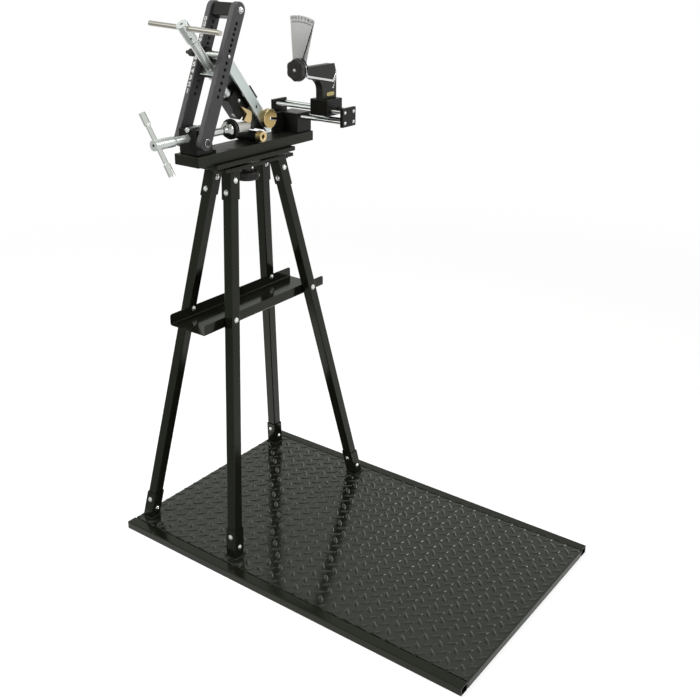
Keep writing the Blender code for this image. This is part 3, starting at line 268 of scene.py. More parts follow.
def surface(name, roughness, metallic):
    """A new material with a Principled shader; returns the material, its tree and the shader."""
    made = bpy.data.materials.new(name)
    made.use_nodes = True
    tree = made.node_tree
    shader = tree.nodes["Principled BSDF"]
    shader.inputs["Roughness"].default_value = roughness
    shader.inputs["Metallic"].default_value = metallic
    return made, tree, shader


def shaded(colour, share):
    """A darker or lighter version of a colour."""
    return tuple(min(1.0, part * share) for part in colour)


def noise(tree, where, scale, detail):
    """Noise from 0 to 1, at a number of cycles a metre."""
    made = add(tree, "ShaderNodeTexNoise", {"Vector": where, "Scale": scale, "Detail": detail})
    return made.outputs["Fac"]


def worn_edge(tree):
    """One on the rounded edges of a piece, and zero elsewhere."""
    return add(tree, "ShaderNodeAttribute", attribute_name="worn_edge").outputs["Fac"]


def roughen(tree, shader, height, strength, distance):
    """Bump a shader's surface by a height."""
    bump = add(tree, "ShaderNodeBump", {"Height": height, "Strength": strength, "Distance": distance})
    tree.links.new(bump.outputs["Normal"], shader.inputs["Normal"])


def paint(name, colour, roughness, peel_size, peel_depth, rubbed, specular=0.5,
          gloss_tint=(1.0, 1.0, 1.0)):
    """Paint, plastic or rubber: slow drift, fine peel, and edges rubbed to another colour."""
    made, tree, shader = surface(name, roughness, 0.0)
    shader.inputs["Specular IOR Level"].default_value = specular
    shader.inputs["Specular Tint"].default_value = (*gloss_tint, 1.0)
    where = add(tree, "ShaderNodeTexCoord").outputs["Object"]
    darkest, lightest = [shaded(colour, share) for share in DRIFT_SHADES]
    tint = blend_colours(tree, noise(tree, where, DRIFT_CYCLES, 4.0), darkest, lightest)
    patchy = noise(tree, where, PATCH_CYCLES, 5.0)
    wear = maths(tree, "MULTIPLY", worn_edge(tree), ranged(tree, patchy, *PATCH_RANGE, 0.0, PATCH_WEAR))
    tree.links.new(blend_colours(tree, wear, tint, rubbed), shader.inputs["Base Color"])
    gloss = ranged(tree, patchy, 0.0, 1.0, *[roughness * share for share in PAINT_GLOSS])
    tree.links.new(gloss, shader.inputs["Roughness"])
    roughen(tree, shader, noise(tree, where, 1.0 / peel_size, 2.0), PEEL_STRENGTH, peel_depth)
    return made


OLIVE_GLOSS = (0.93, 1.0, 0.82)
black_enamel = paint("gloss_black_enamel", (0.0064, 0.0070, 0.0044), 0.13, 0.005, 0.0005,
                     (0.034, 0.035, 0.029), specular=0.245, gloss_tint=OLIVE_GLOSS)
tread_enamel = paint("dark_tread_enamel", (0.0070, 0.0078, 0.0060), 0.11, 0.006, 0.0004,
                     (0.035, 0.037, 0.032), specular=0.54, gloss_tint=(0.96, 1.0, 0.91))
# A lighter, greener copy of the tread enamel for the bent ends: painted light for how the light falls on them
lip_painted_light_enamel = paint("dark_enamel_on_lit_lip_painted_light", (0.0115, 0.0150, 0.0070), 0.20, 0.006, 0.0004,
                   (0.035, 0.037, 0.032), specular=0.17, gloss_tint=OLIVE_GLOSS)
machine_black = paint("satin_machine_black", (0.0052, 0.0054, 0.0043), 0.30, 0.0012, 0.0001,
                      (0.030, 0.030, 0.028), specular=0.18)
bar_black = paint("satin_bar_black", (0.0056, 0.0058, 0.0042), 0.38, 0.0012, 0.0001,
                  (0.030, 0.030, 0.026), specular=0.25, gloss_tint=OLIVE_GLOSS)
gauge_black = paint("satin_gauge_black", (0.0155, 0.0147, 0.0138), 0.36, 0.0012, 0.0001,
                    (0.050, 0.048, 0.046), specular=0.26)
arm_grey = paint("matte_arm_grey", (0.054, 0.0505, 0.0545), 0.48, 0.0009, 0.0002,
                 (0.105, 0.10, 0.106), specular=0.35)
knob_plastic = paint("moulded_black_plastic", (0.0290, 0.0262, 0.0256), 0.42, 0.0007, 0.0002,
                     (0.028, 0.027, 0.026), specular=0.35)
pad_rubber = paint("black_pad_rubber", (0.006, 0.006, 0.006), 0.60, 0.0005, 0.0003,
                   (0.02, 0.02, 0.02), specular=0.3)
mark_white = paint("white_marking_paint", (0.80, 0.80, 0.78), 0.45, 0.0008, 0.0001, (0.85, 0.85, 0.83))
number_white = paint("faded_number_white", (0.46, 0.46, 0.44), 0.45, 0.0008, 0.0001, (0.60, 0.60, 0.58))
dial_mark = paint("dark_dial_marking", (0.06, 0.06, 0.06), 0.5, 0.0008, 0.0001, (0.10, 0.10, 0.10))
dial_grey = paint("frosted_dial_grey", (0.44, 0.44, 0.43), 0.50, 0.0009, 0.0001,
                  (0.50, 0.50, 0.49), specular=0.4)
nose_grey = paint("satin_nose_grey", (0.78, 0.77, 0.745), 0.30, 0.0009, 0.0001, (0.60, 0.59, 0.57))
# Near-black paint for discs set deep in bores and centre holes: painted shade for their depth
bore_painted_shade = paint("painted_shade_in_bores", (0.010, 0.008, 0.006), 0.60, 0.0008, 0.0002, (0.03, 0.03, 0.03))
print("paints", len(bpy.data.materials))

# %% [markdown]
# The bright pieces are zinc plate, satin plate, bare turned steel, brass and bronze. Plating shows faint
# crystal patches and turned stock shows the tool's fine lines, so the metals mix a cell pattern into the
# colour and gloss and stretch a noise across the cut for the bump. The stretch follows the way each piece
# was machined, and a faced disc has rings round its middle instead.

# %% Recipe for metals
CLOUD_SHARE = 0.35                       # cycles of the slow cloud for one of the crystal cells
CELL_SHADES = (1.03, 0.93)
CLOUD_RANGE, METAL_GLOSS = (0.3, 0.7), (0.85, 1.2)
LINE_STRENGTH = 0.3
RING_WOBBLE = 0.6


def metal(name, colour, roughness, lines, line_depth, patch_size, rubbed, turned_at=None, metallic=1.0):
    """Plated or machined metal. lines: pattern cycles a metre along X, Y and Z."""
    made, tree, shader = surface(name, roughness, metallic)
    where = add(tree, "ShaderNodeTexCoord").outputs["Object"]
    cells = add(tree, "ShaderNodeTexVoronoi", {"Vector": where, "Scale": 1.0 / patch_size},
                feature="SMOOTH_F1").outputs["Distance"]
    cloud = noise(tree, where, CLOUD_SHARE / patch_size, 4.0)
    tint = blend_colours(tree, maths(tree, "MULTIPLY", cells, cloud),
                         *[shaded(colour, share) for share in CELL_SHADES])
    tree.links.new(blend_colours(tree, worn_edge(tree), tint, rubbed), shader.inputs["Base Color"])
    gloss = ranged(tree, cloud, *CLOUD_RANGE, *[roughness * share for share in METAL_GLOSS])
    tree.links.new(gloss, shader.inputs["Roughness"])
    if turned_at:
        away = [-value for value in turned_at]
        centred = add(tree, "ShaderNodeMapping", {"Vector": where, "Location": away})
        cut = add(tree, "ShaderNodeTexWave", {"Vector": centred.outputs[0], "Scale": lines[1],
                                              "Distortion": RING_WOBBLE, "Detail": 2.0},
                  wave_type="RINGS", rings_direction="X").outputs["Fac"]
    else:
        stretched = add(tree, "ShaderNodeMapping", {"Vector": where, "Scale": lines})
        cut = noise(tree, stretched.outputs[0], 1.0, 3.0)
    roughen(tree, shader, cut, LINE_STRENGTH, line_depth)
    return made


DISC_LOW, DISC_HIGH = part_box("slotted_brass_disc")
DISC_MIDDLE = (DISC_LOW + DISC_HIGH) / 2
zinc = metal("bright_zinc_plate", (0.59, 0.652, 0.63), 0.28, (700, 60, 700), 0.000004, 0.035,
             (0.80, 0.82, 0.82))
turned_zinc = metal("turned_zinc", (0.66, 0.68, 0.67), 0.20, (300, 900, 300), 0.000003, 0.030,
                    (0.82, 0.84, 0.84))
bright_bar = metal("bright_turned_bar", (0.78, 0.79, 0.785), 0.10, (300, 900, 300), 0.000001, 0.030,
                   (0.85, 0.86, 0.86))
screw_zinc = metal("pale_screw_zinc", (0.63, 0.655, 0.645), 0.22, (300, 900, 300), 0.000003, 0.030,
                   (0.84, 0.86, 0.85), metallic=0.62)
bolt_zinc = metal("bright_bolt_zinc", (0.86, 0.87, 0.86), 0.13, (600, 600, 600), 0.000004, 0.006,
                  (0.92, 0.93, 0.92))
warm_steel = metal("bare_turned_steel", (0.50, 0.47, 0.435), 0.16, (900, 300, 300), 0.000003, 0.030,
                   (0.78, 0.76, 0.72))
cup_plate = metal("satin_cup_plate", (0.42, 0.425, 0.415), 0.18, (300, 600, 300), 0.000002, 0.030,
                  (0.72, 0.73, 0.72))
bronze = metal("dark_washer_bronze", (0.20, 0.145, 0.085), 0.34, (300, 900, 300), 0.000003, 0.020,
               (0.40, 0.30, 0.17))
ground_steel = metal("ground_rod_steel", (0.62, 0.63, 0.64), 0.12, (900, 200, 200), 0.000002, 0.02,
                     (0.75, 0.76, 0.77))
# A darker copy of the brass for the disc's rim: painted shade on its side, with turning lines of its own
rim_painted_shade_brass = metal("turned_brass_rim_painted_shade", (0.36, 0.27, 0.14), 0.30, (500, 120, 120), 0.000006, 0.020,
                  (0.60, 0.47, 0.28))
disc_brass = metal("turned_disc_brass", (0.46, 0.33, 0.13), 0.24, (0, 300, 0), 0.00001, 0.020,
                   (0.78, 0.64, 0.40), turned_at=DISC_MIDDLE)
brass = metal("milled_brass", (0.66, 0.505, 0.265), 0.31, (500, 500, 120), 0.000006, 0.020,
              (0.74, 0.60, 0.38))
tag_gold = metal("blank_plate_gold", (0.42, 0.355, 0.16), 0.30, (500, 500, 120), 0.000004, 0.010,
                 (0.62, 0.54, 0.30))
print("materials", len(bpy.data.materials))

# %% [markdown]
# Every finished piece is a plain mesh at the origin that rides on a body, and the CAD node it stands for is
# hidden. Before that its normals are weighted by face size, so a wide flat stays flat beside a small rounded
# edge. That is done by a modifier on a passing object, whose result is kept.


# %% Helpers that finish a piece
def plain_mesh(holder):
    """The shape of a passing object after its modifiers; the object itself goes."""
    shape = holder.evaluated_get(bpy.context.evaluated_depsgraph_get())
    mesh = bpy.data.meshes.new_from_object(shape)
    holder.modifiers.clear()
    bpy.data.objects.remove(holder)
    return mesh


def evaluated(data, *modifiers):
    """The mesh of a shape after the given modifiers, each a kind and its settings."""
    holder = placed("holder", data)
    for kind, settings in modifiers:
        modifier = holder.modifiers.new(kind.lower(), kind)
        for name, value in settings.items():
            setattr(modifier, name, value)
    return plain_mesh(holder)


def closed(work, where=Matrix()):
    """Turn a bmesh into a mesh at its place, faces outward."""
    bmesh.ops.recalc_face_normals(work, faces=work.faces[:])
    work.transform(where)
    mesh = bpy.data.meshes.new("shape")
    work.to_mesh(mesh)
    work.free()
    return mesh


def joined(*shapes):
    """One mesh from several; each shape may be a (mesh, surface number) pair."""
    work = bmesh.new()
    for shape in shapes:
        mesh, number = shape if isinstance(shape, tuple) else (shape, 0)
        mesh.polygons.foreach_set("material_index", [number] * len(mesh.polygons))
        work.from_mesh(mesh)
    mesh = bpy.data.meshes.new("shape")
    work.to_mesh(mesh)
    work.free()
    return mesh


def piece(name, mesh, body, slot, surfaces, stands_for=(), sharp=38.0):
    """Finish a mesh as a named piece of the model; edges past the sharp angle stay sharp."""
    mesh.polygons.foreach_set("use_smooth", [True] * len(mesh.polygons))
    mesh.set_sharp_from_angle(angle=math.radians(sharp))
    mesh = evaluated(mesh, ("WEIGHTED_NORMAL", {"keep_sharp": True}))
    mesh.name = name
    numbers = [face.material_index for face in mesh.polygons]
    mesh.materials.clear()
    for finish in surfaces if isinstance(surfaces, (list, tuple)) else [surfaces]:
        mesh.materials.append(finish)
    mesh.polygons.foreach_set("material_index", numbers)
    made = placed(name, mesh)
    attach(made, body)
    for node in [stands_for] if isinstance(stands_for, str) else stands_for:
        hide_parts(node)
    print(name, len(mesh.polygons), "faces on", body)


# The slot and the finish that many pieces share
ENAMELLED = ("black_paint", black_enamel)
BLACKED = ("blacked_steel", machine_black)
PLATED = ("zinc_plate", turned_zinc)

# %% [markdown]
# Four ways of making metal cover nearly the whole machine. Bar stock is a block with eased edges, a turned
# piece is a profile spun round an axis, a plate is an outline with holes whose rims are rounded, and the
# legs are square tube with round corners. Building them fresh gives smooth rounds, where the CAD's
# faceted solids would show flats. Blocks and plates mark their rounded edges for the paint to wear. First
# come the places: a shape is drawn round the Z axis, or flat in XY, and a matrix puts it where it belongs.

# %% Helpers for places and bar stock
PLATE_FACING_X = Matrix(((0, 0, 1, 0), (1, 0, 0, 0), (0, 1, 0, 0), (0, 0, 0, 1)))


def at(x, y, z):
    """A place, unturned."""
    return Matrix.Translation((x, y, z))


def turn_about(axis, degrees):
    """A turn about one axis."""
    return Matrix.Rotation(math.radians(degrees), 4, axis)


ALONG_X = turn_about("Y", 90)            # turns Z to X
ALONG_Y = turn_about("X", -90)           # turns Z to Y
PLATE_FACING_Y = turn_about("X", 90)


def soft_block(low, high, radius, where=Matrix()):
    """A bar or block with eased edges."""
    work = bmesh.new()
    worn = work.faces.layers.float.new("worn_edge")
    bmesh.ops.create_cube(work, size=1.0)
    for vertex in work.verts:
        vertex.co = [a + (part + 0.5) * (b - a) for a, b, part in zip(low, high, vertex.co)]
    made = bmesh.ops.bevel(work, geom=work.edges[:], offset=radius, segments=3, profile=0.5,
                           affect="EDGES", clamp_overlap=True)
    for face in made["faces"]:
        face[worn] = 1.0
    return closed(work, where)


print("along X, the Z axis points to", tuple(ALONG_X @ Vector((0, 0, 1))))

# %% [markdown]
# A lathe never leaves a knife edge, so each corner of a profile is eased before it is spun. Most round
# pieces are plain bars or tubes, which need only their radius and two heights.

# %% Helpers for turned stock
EASE = 0.0007
LEAST_BEND = 165.0        # corners flatter than this stay as they are


def eased_profile(profile, ease):
    """Round each corner of a turned profile."""
    points = [Vector(point) for point in profile]
    soft = [points[0]]
    for before, corner, after in zip(points, points[1:], points[2:]):
        back, ahead = before - corner, after - corner
        cut = min(ease, 0.45 * back.length, 0.45 * ahead.length)
        if cut < 1e-6 or back.angle(ahead) > math.radians(LEAST_BEND):
            soft.append(corner)
            continue
        start, end = corner + back.normalized() * cut, corner + ahead.normalized() * cut
        soft += [start, (start + end) / 4 + corner / 2, end]
    return soft + [points[-1]]


def turned(profile, where, sides=64, ease=EASE):
    """Spin a profile of (radius, height) round the Z axis of a place."""
    work = bmesh.new()
    rings = []
    for radius, level in eased_profile(profile, ease):
        if radius < 1e-7:
            rings.append([work.verts.new((0, 0, level))])
            continue
        turns = [2 * math.pi * step / sides for step in range(sides)]
        rings.append([work.verts.new((radius * math.cos(t), radius * math.sin(t), level)) for t in turns])
    for low, high in zip(rings, rings[1:]):
        for step in range(sides):
            after = (step + 1) % sides
            corners = [low[step % len(low)], low[after % len(low)],
                       high[after % len(high)], high[step % len(high)]]
            work.faces.new(list(dict.fromkeys(corners)))
    return closed(work, where)


def round_bar(radius, start, end, where, sides=64, ease=EASE):
    """A plain bar or disc between two heights."""
    return turned([(0, start), (radius, start), (radius, end), (0, end)], where, sides, ease)


def round_tube(bore, radius, start, end, where, sides=64, ease=EASE):
    """A plain tube or ring between two heights."""
    return turned([(bore, start), (radius, start), (radius, end), (bore, end), (bore, start)],
                  where, sides, ease)


print("turned corners are eased by", EASE, "m")

# %% [markdown]
# A plate starts as loops of points: the outline and its holes. Copies of each loop, moved in and up step by
# step, make the rounded rims, and the flats are filled between them. A tube is four rings of points joined
# by bands of faces. Bores in a block are cut with a boolean modifier, as a drill would.


# %% Helpers for plates, tubes and bores
def band(work, low, high):
    """Faces between two rings of as many points."""
    faces = []
    for step in range(len(low)):
        after = (step + 1) % len(low)
        faces.append(work.faces.new((low[step], low[after], high[after], high[step])))
    return faces


def inset_loop(points, amount):
    """Move a closed loop of 2D points to its left by an amount."""
    moved = []
    for number, point in enumerate(points):
        first = (point - points[number - 1]).normalized()
        second = (points[(number + 1) % len(points)] - point).normalized()
        left = Vector((-first.y, first.x)) + Vector((-second.y, second.x))
        moved.append(point + left * (amount / max(0.35, 1 + first.dot(second))))
    return moved


def rounded_plate(loops, thickness, where, edge=0.0012, hole_edge=0.0005, steps=3):
    """A plate from an outline and its holes, rims rounded. Its faces lie in the place's XY plane."""
    work = bmesh.new()
    worn = work.faces.layers.float.new("worn_edge")
    caps = {-1: [], 1: []}
    for number, loop in enumerate(loops):
        points = [Vector(point) for point in loop]
        area = sum(a.x * b.y - b.x * a.y for a, b in zip(points, points[1:] + points[:1]))
        if (area > 0) == (number > 0):
            points.reverse()
        rim = edge if number == 0 else hole_edge
        rings = []
        for side in (-1, 1):
            angles = [math.radians(90) * step / steps for step in range(steps + 1)]
            for angle in reversed(angles) if side < 0 else angles:
                level = side * (thickness / 2 - rim + rim * math.sin(angle))
                ring = inset_loop(points, rim * (1 - math.cos(angle)))
                rings.append([work.verts.new((point.x, point.y, level)) for point in ring])
        for step, (low, high) in enumerate(zip(rings, rings[1:])):
            for face in band(work, low, high):
                face[worn] = 0.0 if step == steps else 1.0
        for side, ring in ((-1, rings[0]), (1, rings[-1])):
            pairs = zip(ring, ring[1:] + ring[:1])
            caps[side] += [work.edges.get(pair) for pair in pairs]
    for edges in caps.values():
        bmesh.ops.triangle_fill(work, edges=edges, use_beauty=True)
    return closed(work, where)


def facing_x(lean, x):
    """Where a plate faces along X, at a level of X, in a place that leans only about X."""
    return lean @ at(x - lean.translation.x, 0, 0) @ PLATE_FACING_X


def plate_across_x(loops, low, high, lean=Matrix(), edge=0.0012, hole_edge=0.0005, steps=3):
    """A plate between two levels of X; its outline is drawn in the YZ plane of a place."""
    return rounded_plate(loops, high - low, facing_x(lean, (low + high) / 2), edge, hole_edge, steps)


def arc(centre, radius, start, end, steps):
    """Points of an arc; angles in degrees."""
    turns = [math.radians(start + (end - start) * step / steps) for step in range(steps + 1)]
    return [(centre[0] + radius * math.cos(t), centre[1] + radius * math.sin(t)) for t in turns]


def ring_of(centre, radius, steps=32):
    """A round hole's loop."""
    return arc(centre, radius, 0, 360, steps)[:-1]


def square_tube(start, end, across, up, size, corner, wall):
    """A hollow square tube with round corners; its ends lie in the across-up plane."""
    work = bmesh.new()
    rings = []
    for inner in (0, 1):
        half = [length / 2 - inner * wall for length in size]
        bend = max(corner - inner * wall, 0.0006)
        loop = []
        for quarter, (side, rise) in enumerate(((1, 1), (-1, 1), (-1, -1), (1, -1))):
            middle = (side * (half[0] - bend), rise * (half[1] - bend))
            loop += arc(middle, bend, 90 * quarter, 90 * quarter + 90, 5)
        for centre in (start, end):
            rings.append([work.verts.new(Vector(centre) + Vector(across) * u + Vector(up) * v)
                          for u, v in loop])
    for first, second in ((0, 1), (3, 2), (2, 0), (1, 3)):
        band(work, rings[first], rings[second])
    return closed(work)


def cut_by(mesh, tool):
    """Cut a tool's shape out of a mesh."""
    cutter = placed("cutter", tool)
    mesh = evaluated(mesh, ("BOOLEAN", {"operation": "DIFFERENCE", "object": cutter, "solver": "EXACT"}))
    bpy.data.objects.remove(cutter)
    return mesh


THROUGH = 0.5             # long enough for any bore that goes right through


def drilled(mesh, bores):
    """Cut round bores into a block; each bore is a place, a radius and a depth along its Z."""
    for where, radius, depth in bores:
        mesh = cut_by(mesh, round_bar(radius, -depth / 2, depth / 2, where, 48, 0))
    return mesh


print("points of a round hole", len(ring_of((0, 0), 1.0)))

# %% [markdown]
# Screws, lugs, threads, welds and scale marks repeat, so Geometry Nodes make them. Each tree is an empty
# group with named inputs. A passing object carries the tree as a modifier while it is evaluated, and only
# the plain mesh is kept.


# %% Helpers for Geometry Nodes
def shape_tree(name, inputs):
    """An empty Geometry Nodes tree with named inputs, each a (label, socket kind) pair."""
    tree = bpy.data.node_groups.new(name, "GeometryNodeTree")
    for label, kind in inputs:
        tree.interface.new_socket(label, in_out="INPUT", socket_type="NodeSocket" + kind)
    tree.interface.new_socket("Geometry", in_out="OUTPUT", socket_type="NodeSocketGeometry")
    return tree, add(tree, "NodeGroupInput").outputs


def on_points(tree, points, shape, **settings):
    """A copy of a shape on each point."""
    copies = add(tree, "GeometryNodeInstanceOnPoints", {"Points": points, "Instance": shape, **settings})
    return copies.outputs[0]


def end_tree(tree, geometry, finish):
    """Close a tree with real geometry and its material."""
    real = add(tree, "GeometryNodeRealizeInstances", {"Geometry": geometry})
    painted = add(tree, "GeometryNodeSetMaterial", {"Geometry": real.outputs[0], "Material": finish})
    add(tree, "NodeGroupOutput", {"Geometry": painted.outputs[0]})


def grown(tree, values, seed=None):
    """Evaluate a tree on a seed mesh and keep the plain mesh."""
    carrier = placed("carrier", seed or bpy.data.meshes.new("seed"))
    maker = carrier.modifiers.new("maker", "NODES")
    maker.node_group = tree
    for item in tree.interface.items_tree:
        if item.in_out == "INPUT" and item.name in values:
            maker[item.identifier] = values[item.name]
    return plain_mesh(carrier)


print("node groups so far", len(bpy.data.node_groups))

# %% [markdown]
# The platform is a tread plate between two rails of rectangular tube. The rails are open at the ends, so
# the dark inside shows. The plate's ends are bent down in a small radius. Its long edges stop just short
# of the rails and rest on thin ledges, so the open seam reads as a dark line between the welds.

# %% Platform
RAIL_CORNER, RAIL_WALL = 0.0028, 0.0025
PLATE_BEND, PLATE_THICKNESS, PLATE_EDGE = 0.005, 0.0045, 0.0016
SEAM_GAP = 0.0026         # open seam between the plate and each rail
LIP_END = 0.0004          # the bent ends stop this far above the floor
LEDGE_WIDTH, LEDGE_THICK, LEDGE_EASE = 0.012, 0.003, 0.0004

for node in ("near_rail", "far_rail", "centre_stiffener"):
    low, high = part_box(node)
    middle = (low + high) / 2
    tube = square_tube((low.x, middle.y, middle.z), (high.x, middle.y, middle.z), (0, 1, 0), (0, 0, 1),
                       (high.y - low.y, high.z - low.z), RAIL_CORNER, RAIL_WALL)
    piece(node + "_tube", tube, "stand", *ENAMELLED, node)

PLATE_LOW, PLATE_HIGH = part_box("tread_plate")
PLATE_END, PLATE_TOP = PLATE_HIGH.x, PLATE_HIGH.z
under_plate = PLATE_TOP - PLATE_THICKNESS
inner_end, bend_end = PLATE_END - PLATE_THICKNESS, PLATE_END - PLATE_BEND
section = [(-PLATE_END, LIP_END)]
section += arc((-bend_end, PLATE_TOP - PLATE_BEND), PLATE_BEND, 180, 90, 6)
section += arc((bend_end, PLATE_TOP - PLATE_BEND), PLATE_BEND, 90, 0, 6)
section += [(PLATE_END, LIP_END), (inner_end, LIP_END), (inner_end, under_plate),
            (-inner_end, under_plate), (-inner_end, LIP_END)]
tread = rounded_plate([section], PLATE_HIGH.y - PLATE_LOW.y - 2 * SEAM_GAP, PLATE_FACING_Y, PLATE_EDGE)

ledges = []
for seam, way in ((PLATE_LOW.y, -1), (PLATE_HIGH.y, 1)):
    sides = sorted((seam, seam - way * LEDGE_WIDTH))
    ledges.append(soft_block((-bend_end, sides[0], under_plate - LEDGE_THICK),
                             (bend_end, sides[1], under_plate), LEDGE_EASE))
print("plate", 2 * PLATE_END, "m long, seam", SEAM_GAP)

# %% [markdown]
# The plate's grip is a field of raised lugs, each a low pointed lens, laid at right angles to its
# neighbours. Modelling one lug and copying it by hand would work, but a rule is shorter: two grids of
# points, half a cell apart, carry the same lug turned one way and the other. Lugs under the feet are left
# out, where the sockets are welded flat to the plate.

# %% Tread lugs
LUG_PITCH_X, LUG_PITCH_Y = 0.046, 0.042
LUG_LENGTH, LUG_WIDTH, LUG_HEIGHT = 0.041, 0.0130, 0.0027
LUG_RINGS = ((1.0, 0.0), (0.80, 0.40), (0.55, 0.75), (0.25, 0.96))  # shares of its width and its height
LUG_TAPER = 0.6           # how much slower its length shrinks than its width
LUG_STEPS = 5             # points along each curved side
LUG_FIELDS = ((0.0, 45.0), (0.5, -45.0))   # shift in cells, and turn
FOOT_CLEAR = 0.030        # half the square left bare under a foot
STAND_X = joint_place["machine_swivel"][0]
FOOT_X, FOOT_Y = 0.181, 0.306


def lug_mesh():
    """A pointed lens: two curved sides that rise to a rounded ridge."""
    work = bmesh.new()
    worn = work.faces.layers.float.new("worn_edge")
    rings = []
    for share, rise in LUG_RINGS:
        ring = []
        for side in (1, -1):
            for step in range(LUG_STEPS):
                along = side * (1 - 2 * step / LUG_STEPS)
                bulge = side * (1 - along * along)
                ring.append(work.verts.new((along * share ** LUG_TAPER * LUG_LENGTH / 2,
                                            bulge * share * LUG_WIDTH / 2, rise * LUG_HEIGHT)))
        rings.append(ring)
    for low_ring, high_ring in zip(rings, rings[1:]):
        band(work, low_ring, high_ring)
    work.faces.new(rings[-1])[worn] = 1.0
    work.faces.new(list(reversed(rings[0])))
    return closed(work)


lug_tree, inputs = shape_tree("tread_lug_field", [
    ("Length", "Float"), ("Width", "Float"), ("Pitch X", "Float"), ("Pitch Y", "Float"),
    ("Foot Clear", "Float"), ("Lug", "Object"), ("Finish", "Material")])
spot = add(lug_tree, "ShaderNodeSeparateXYZ",
           {"Vector": add(lug_tree, "GeometryNodeInputPosition").outputs[0]}).outputs
spans, counts, under_foot, past_edge = [], [], [], []
for axis, stand, foot, span in (("X", STAND_X, FOOT_X, "Length"), ("Y", 0.0, FOOT_Y, "Width")):
    pitch = inputs["Pitch " + axis]
    cells = maths(lug_tree, "FLOOR", maths(lug_tree, "DIVIDE", inputs[span], pitch))
    spans.append(maths(lug_tree, "MULTIPLY", cells, pitch))
    counts.append(maths(lug_tree, "ADD", cells, 1.0))
    from_stand = maths(lug_tree, "ABSOLUTE", maths(lug_tree, "SUBTRACT", spot[axis], stand))
    under_foot.append(maths(lug_tree, "COMPARE", from_stand, foot, inputs["Foot Clear"]))
    half_span = maths(lug_tree, "MULTIPLY", inputs[span], 0.5)
    past_edge.append(maths(lug_tree, "GREATER_THAN", maths(lug_tree, "ABSOLUTE", spot[axis]), half_span))
bare = maths(lug_tree, "MAXIMUM", maths(lug_tree, "MULTIPLY", *under_foot),
             maths(lug_tree, "MAXIMUM", *past_edge))
grid = add(lug_tree, "GeometryNodeMeshGrid", {
    "Size X": spans[0], "Size Y": spans[1], "Vertices X": counts[0], "Vertices Y": counts[1]})
cell = add(lug_tree, "ShaderNodeCombineXYZ", {"X": inputs["Pitch X"], "Y": inputs["Pitch Y"]})
lug_shape = add(lug_tree, "GeometryNodeObjectInfo", {"Object": inputs["Lug"]}).outputs["Geometry"]
fields = add(lug_tree, "GeometryNodeJoinGeometry")
for shift, angle in LUG_FIELDS:
    offset = add(lug_tree, "ShaderNodeVectorMath", {0: cell.outputs[0], "Scale": shift}, operation="SCALE")
    moved = add(lug_tree, "GeometryNodeSetPosition", {
        "Geometry": grid.outputs["Mesh"], "Offset": offset.outputs[0]})
    kept = add(lug_tree, "GeometryNodeDeleteGeometry", {"Geometry": moved.outputs[0], "Selection": bare})
    copies = on_points(lug_tree, kept.outputs[0], lug_shape, Rotation=(0, 0, math.radians(angle)))
    lug_tree.links.new(copies, fields.inputs[0])
end_tree(lug_tree, fields.outputs[0], inputs["Finish"])
print("lug", LUG_LENGTH, "m long")

# %% [markdown]
# Tread plate is cut from a larger sheet, so the lugs at its edges are cut through. The field is grown a
# little too wide, cut off at the plate's four edges, and the cuts are closed. Plate, ledges and lugs are
# then one piece. The bent-down ends take a lighter, greener copy of the enamel: painted light for how
# the light falls on them.

# %% Tread plate with its lugs
LUG_BORDER = 0.0045       # bare strip round the plate's edge, where the lugs are cut
LIP_PAINTED_LIGHT_FACING = 0.7          # faces turned this far to the ends take the lip's enamel


def cut_at_edges(mesh, reach):
    """Cut a field of lugs off at the plate's edges and close the cuts."""
    work = bmesh.new()
    work.from_mesh(mesh)
    for way in (Vector((1, 0, 0)), Vector((-1, 0, 0)), Vector((0, 1, 0)), Vector((0, -1, 0))):
        edge = Vector([part * length for part, length in zip(way, reach)])
        made = bmesh.ops.bisect_plane(work, geom=work.verts[:] + work.edges[:] + work.faces[:],
                                      plane_co=edge, plane_no=way, clear_outer=True)
        rims = [item for item in made["geom_cut"] if isinstance(item, bmesh.types.BMEdge)]
        bmesh.ops.holes_fill(work, edges=rims, sides=0)
    return closed(work, at(0, 0, PLATE_TOP))


lug = placed("lug", lug_mesh())
reach = Vector((PLATE_END - LUG_BORDER, (PLATE_HIGH.y - PLATE_LOW.y) / 2 - LUG_BORDER, 0))
lugs = grown(lug_tree, {"Length": 2 * reach.x + LUG_PITCH_X / 2, "Width": 2 * reach.y + LUG_PITCH_Y / 2,
                        "Pitch X": LUG_PITCH_X, "Pitch Y": LUG_PITCH_Y, "Foot Clear": FOOT_CLEAR,
                        "Lug": lug, "Finish": tread_enamel})
bpy.data.objects.remove(lug)
dressed = joined(tread, *ledges, cut_at_edges(lugs, reach))
# Faces turned to the ends take the lighter lip enamel, which is painted light
for face in dressed.polygons:
    face.material_index = int(abs(face.normal.x) > LIP_PAINTED_LIGHT_FACING)
piece("tread_plate_with_lugs", dressed, "stand", "tread_paint", [tread_enamel, lip_painted_light_enamel], "tread_plate")

# %% [markdown]
# The legs are square tube, each leaning in two directions and held in a socket at both ends. The sockets
# stand level on the plate, so the tube is drawn between two points with its ends cut level, as a saw set
# to the lean would cut it.

# %% Legs and sockets
LEG_CORNERS = {"front": (1, -1), "right": (1, 1), "left": (-1, -1), "back": (-1, 1)}
LEG_ROUND, LEG_WALL = 0.0030, 0.0025
LEG_LOW, LEG_HIGH = [corner.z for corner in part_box("leg_front")]
HEAD_X, HEAD_Y = 0.0313, 0.1007
LEG_LEAN_X = (HEAD_X - FOOT_X) / (LEG_HIGH - LEG_LOW)
LEG_LEAN_Y = (HEAD_Y - FOOT_Y) / (LEG_HIGH - LEG_LOW)
LEG_SIZE = (0.03204, 0.03229)
SOCKET_SIZE = (0.03764, 0.03789)


def leg_middle(corner, level):
    """A leg's centre line at a height above the floor."""
    side_x, side_y = LEG_CORNERS[corner]
    rise = level - LEG_LOW
    return Vector((STAND_X + side_x * (FOOT_X + LEG_LEAN_X * rise), side_y * (FOOT_Y + LEG_LEAN_Y * rise),
                   level))


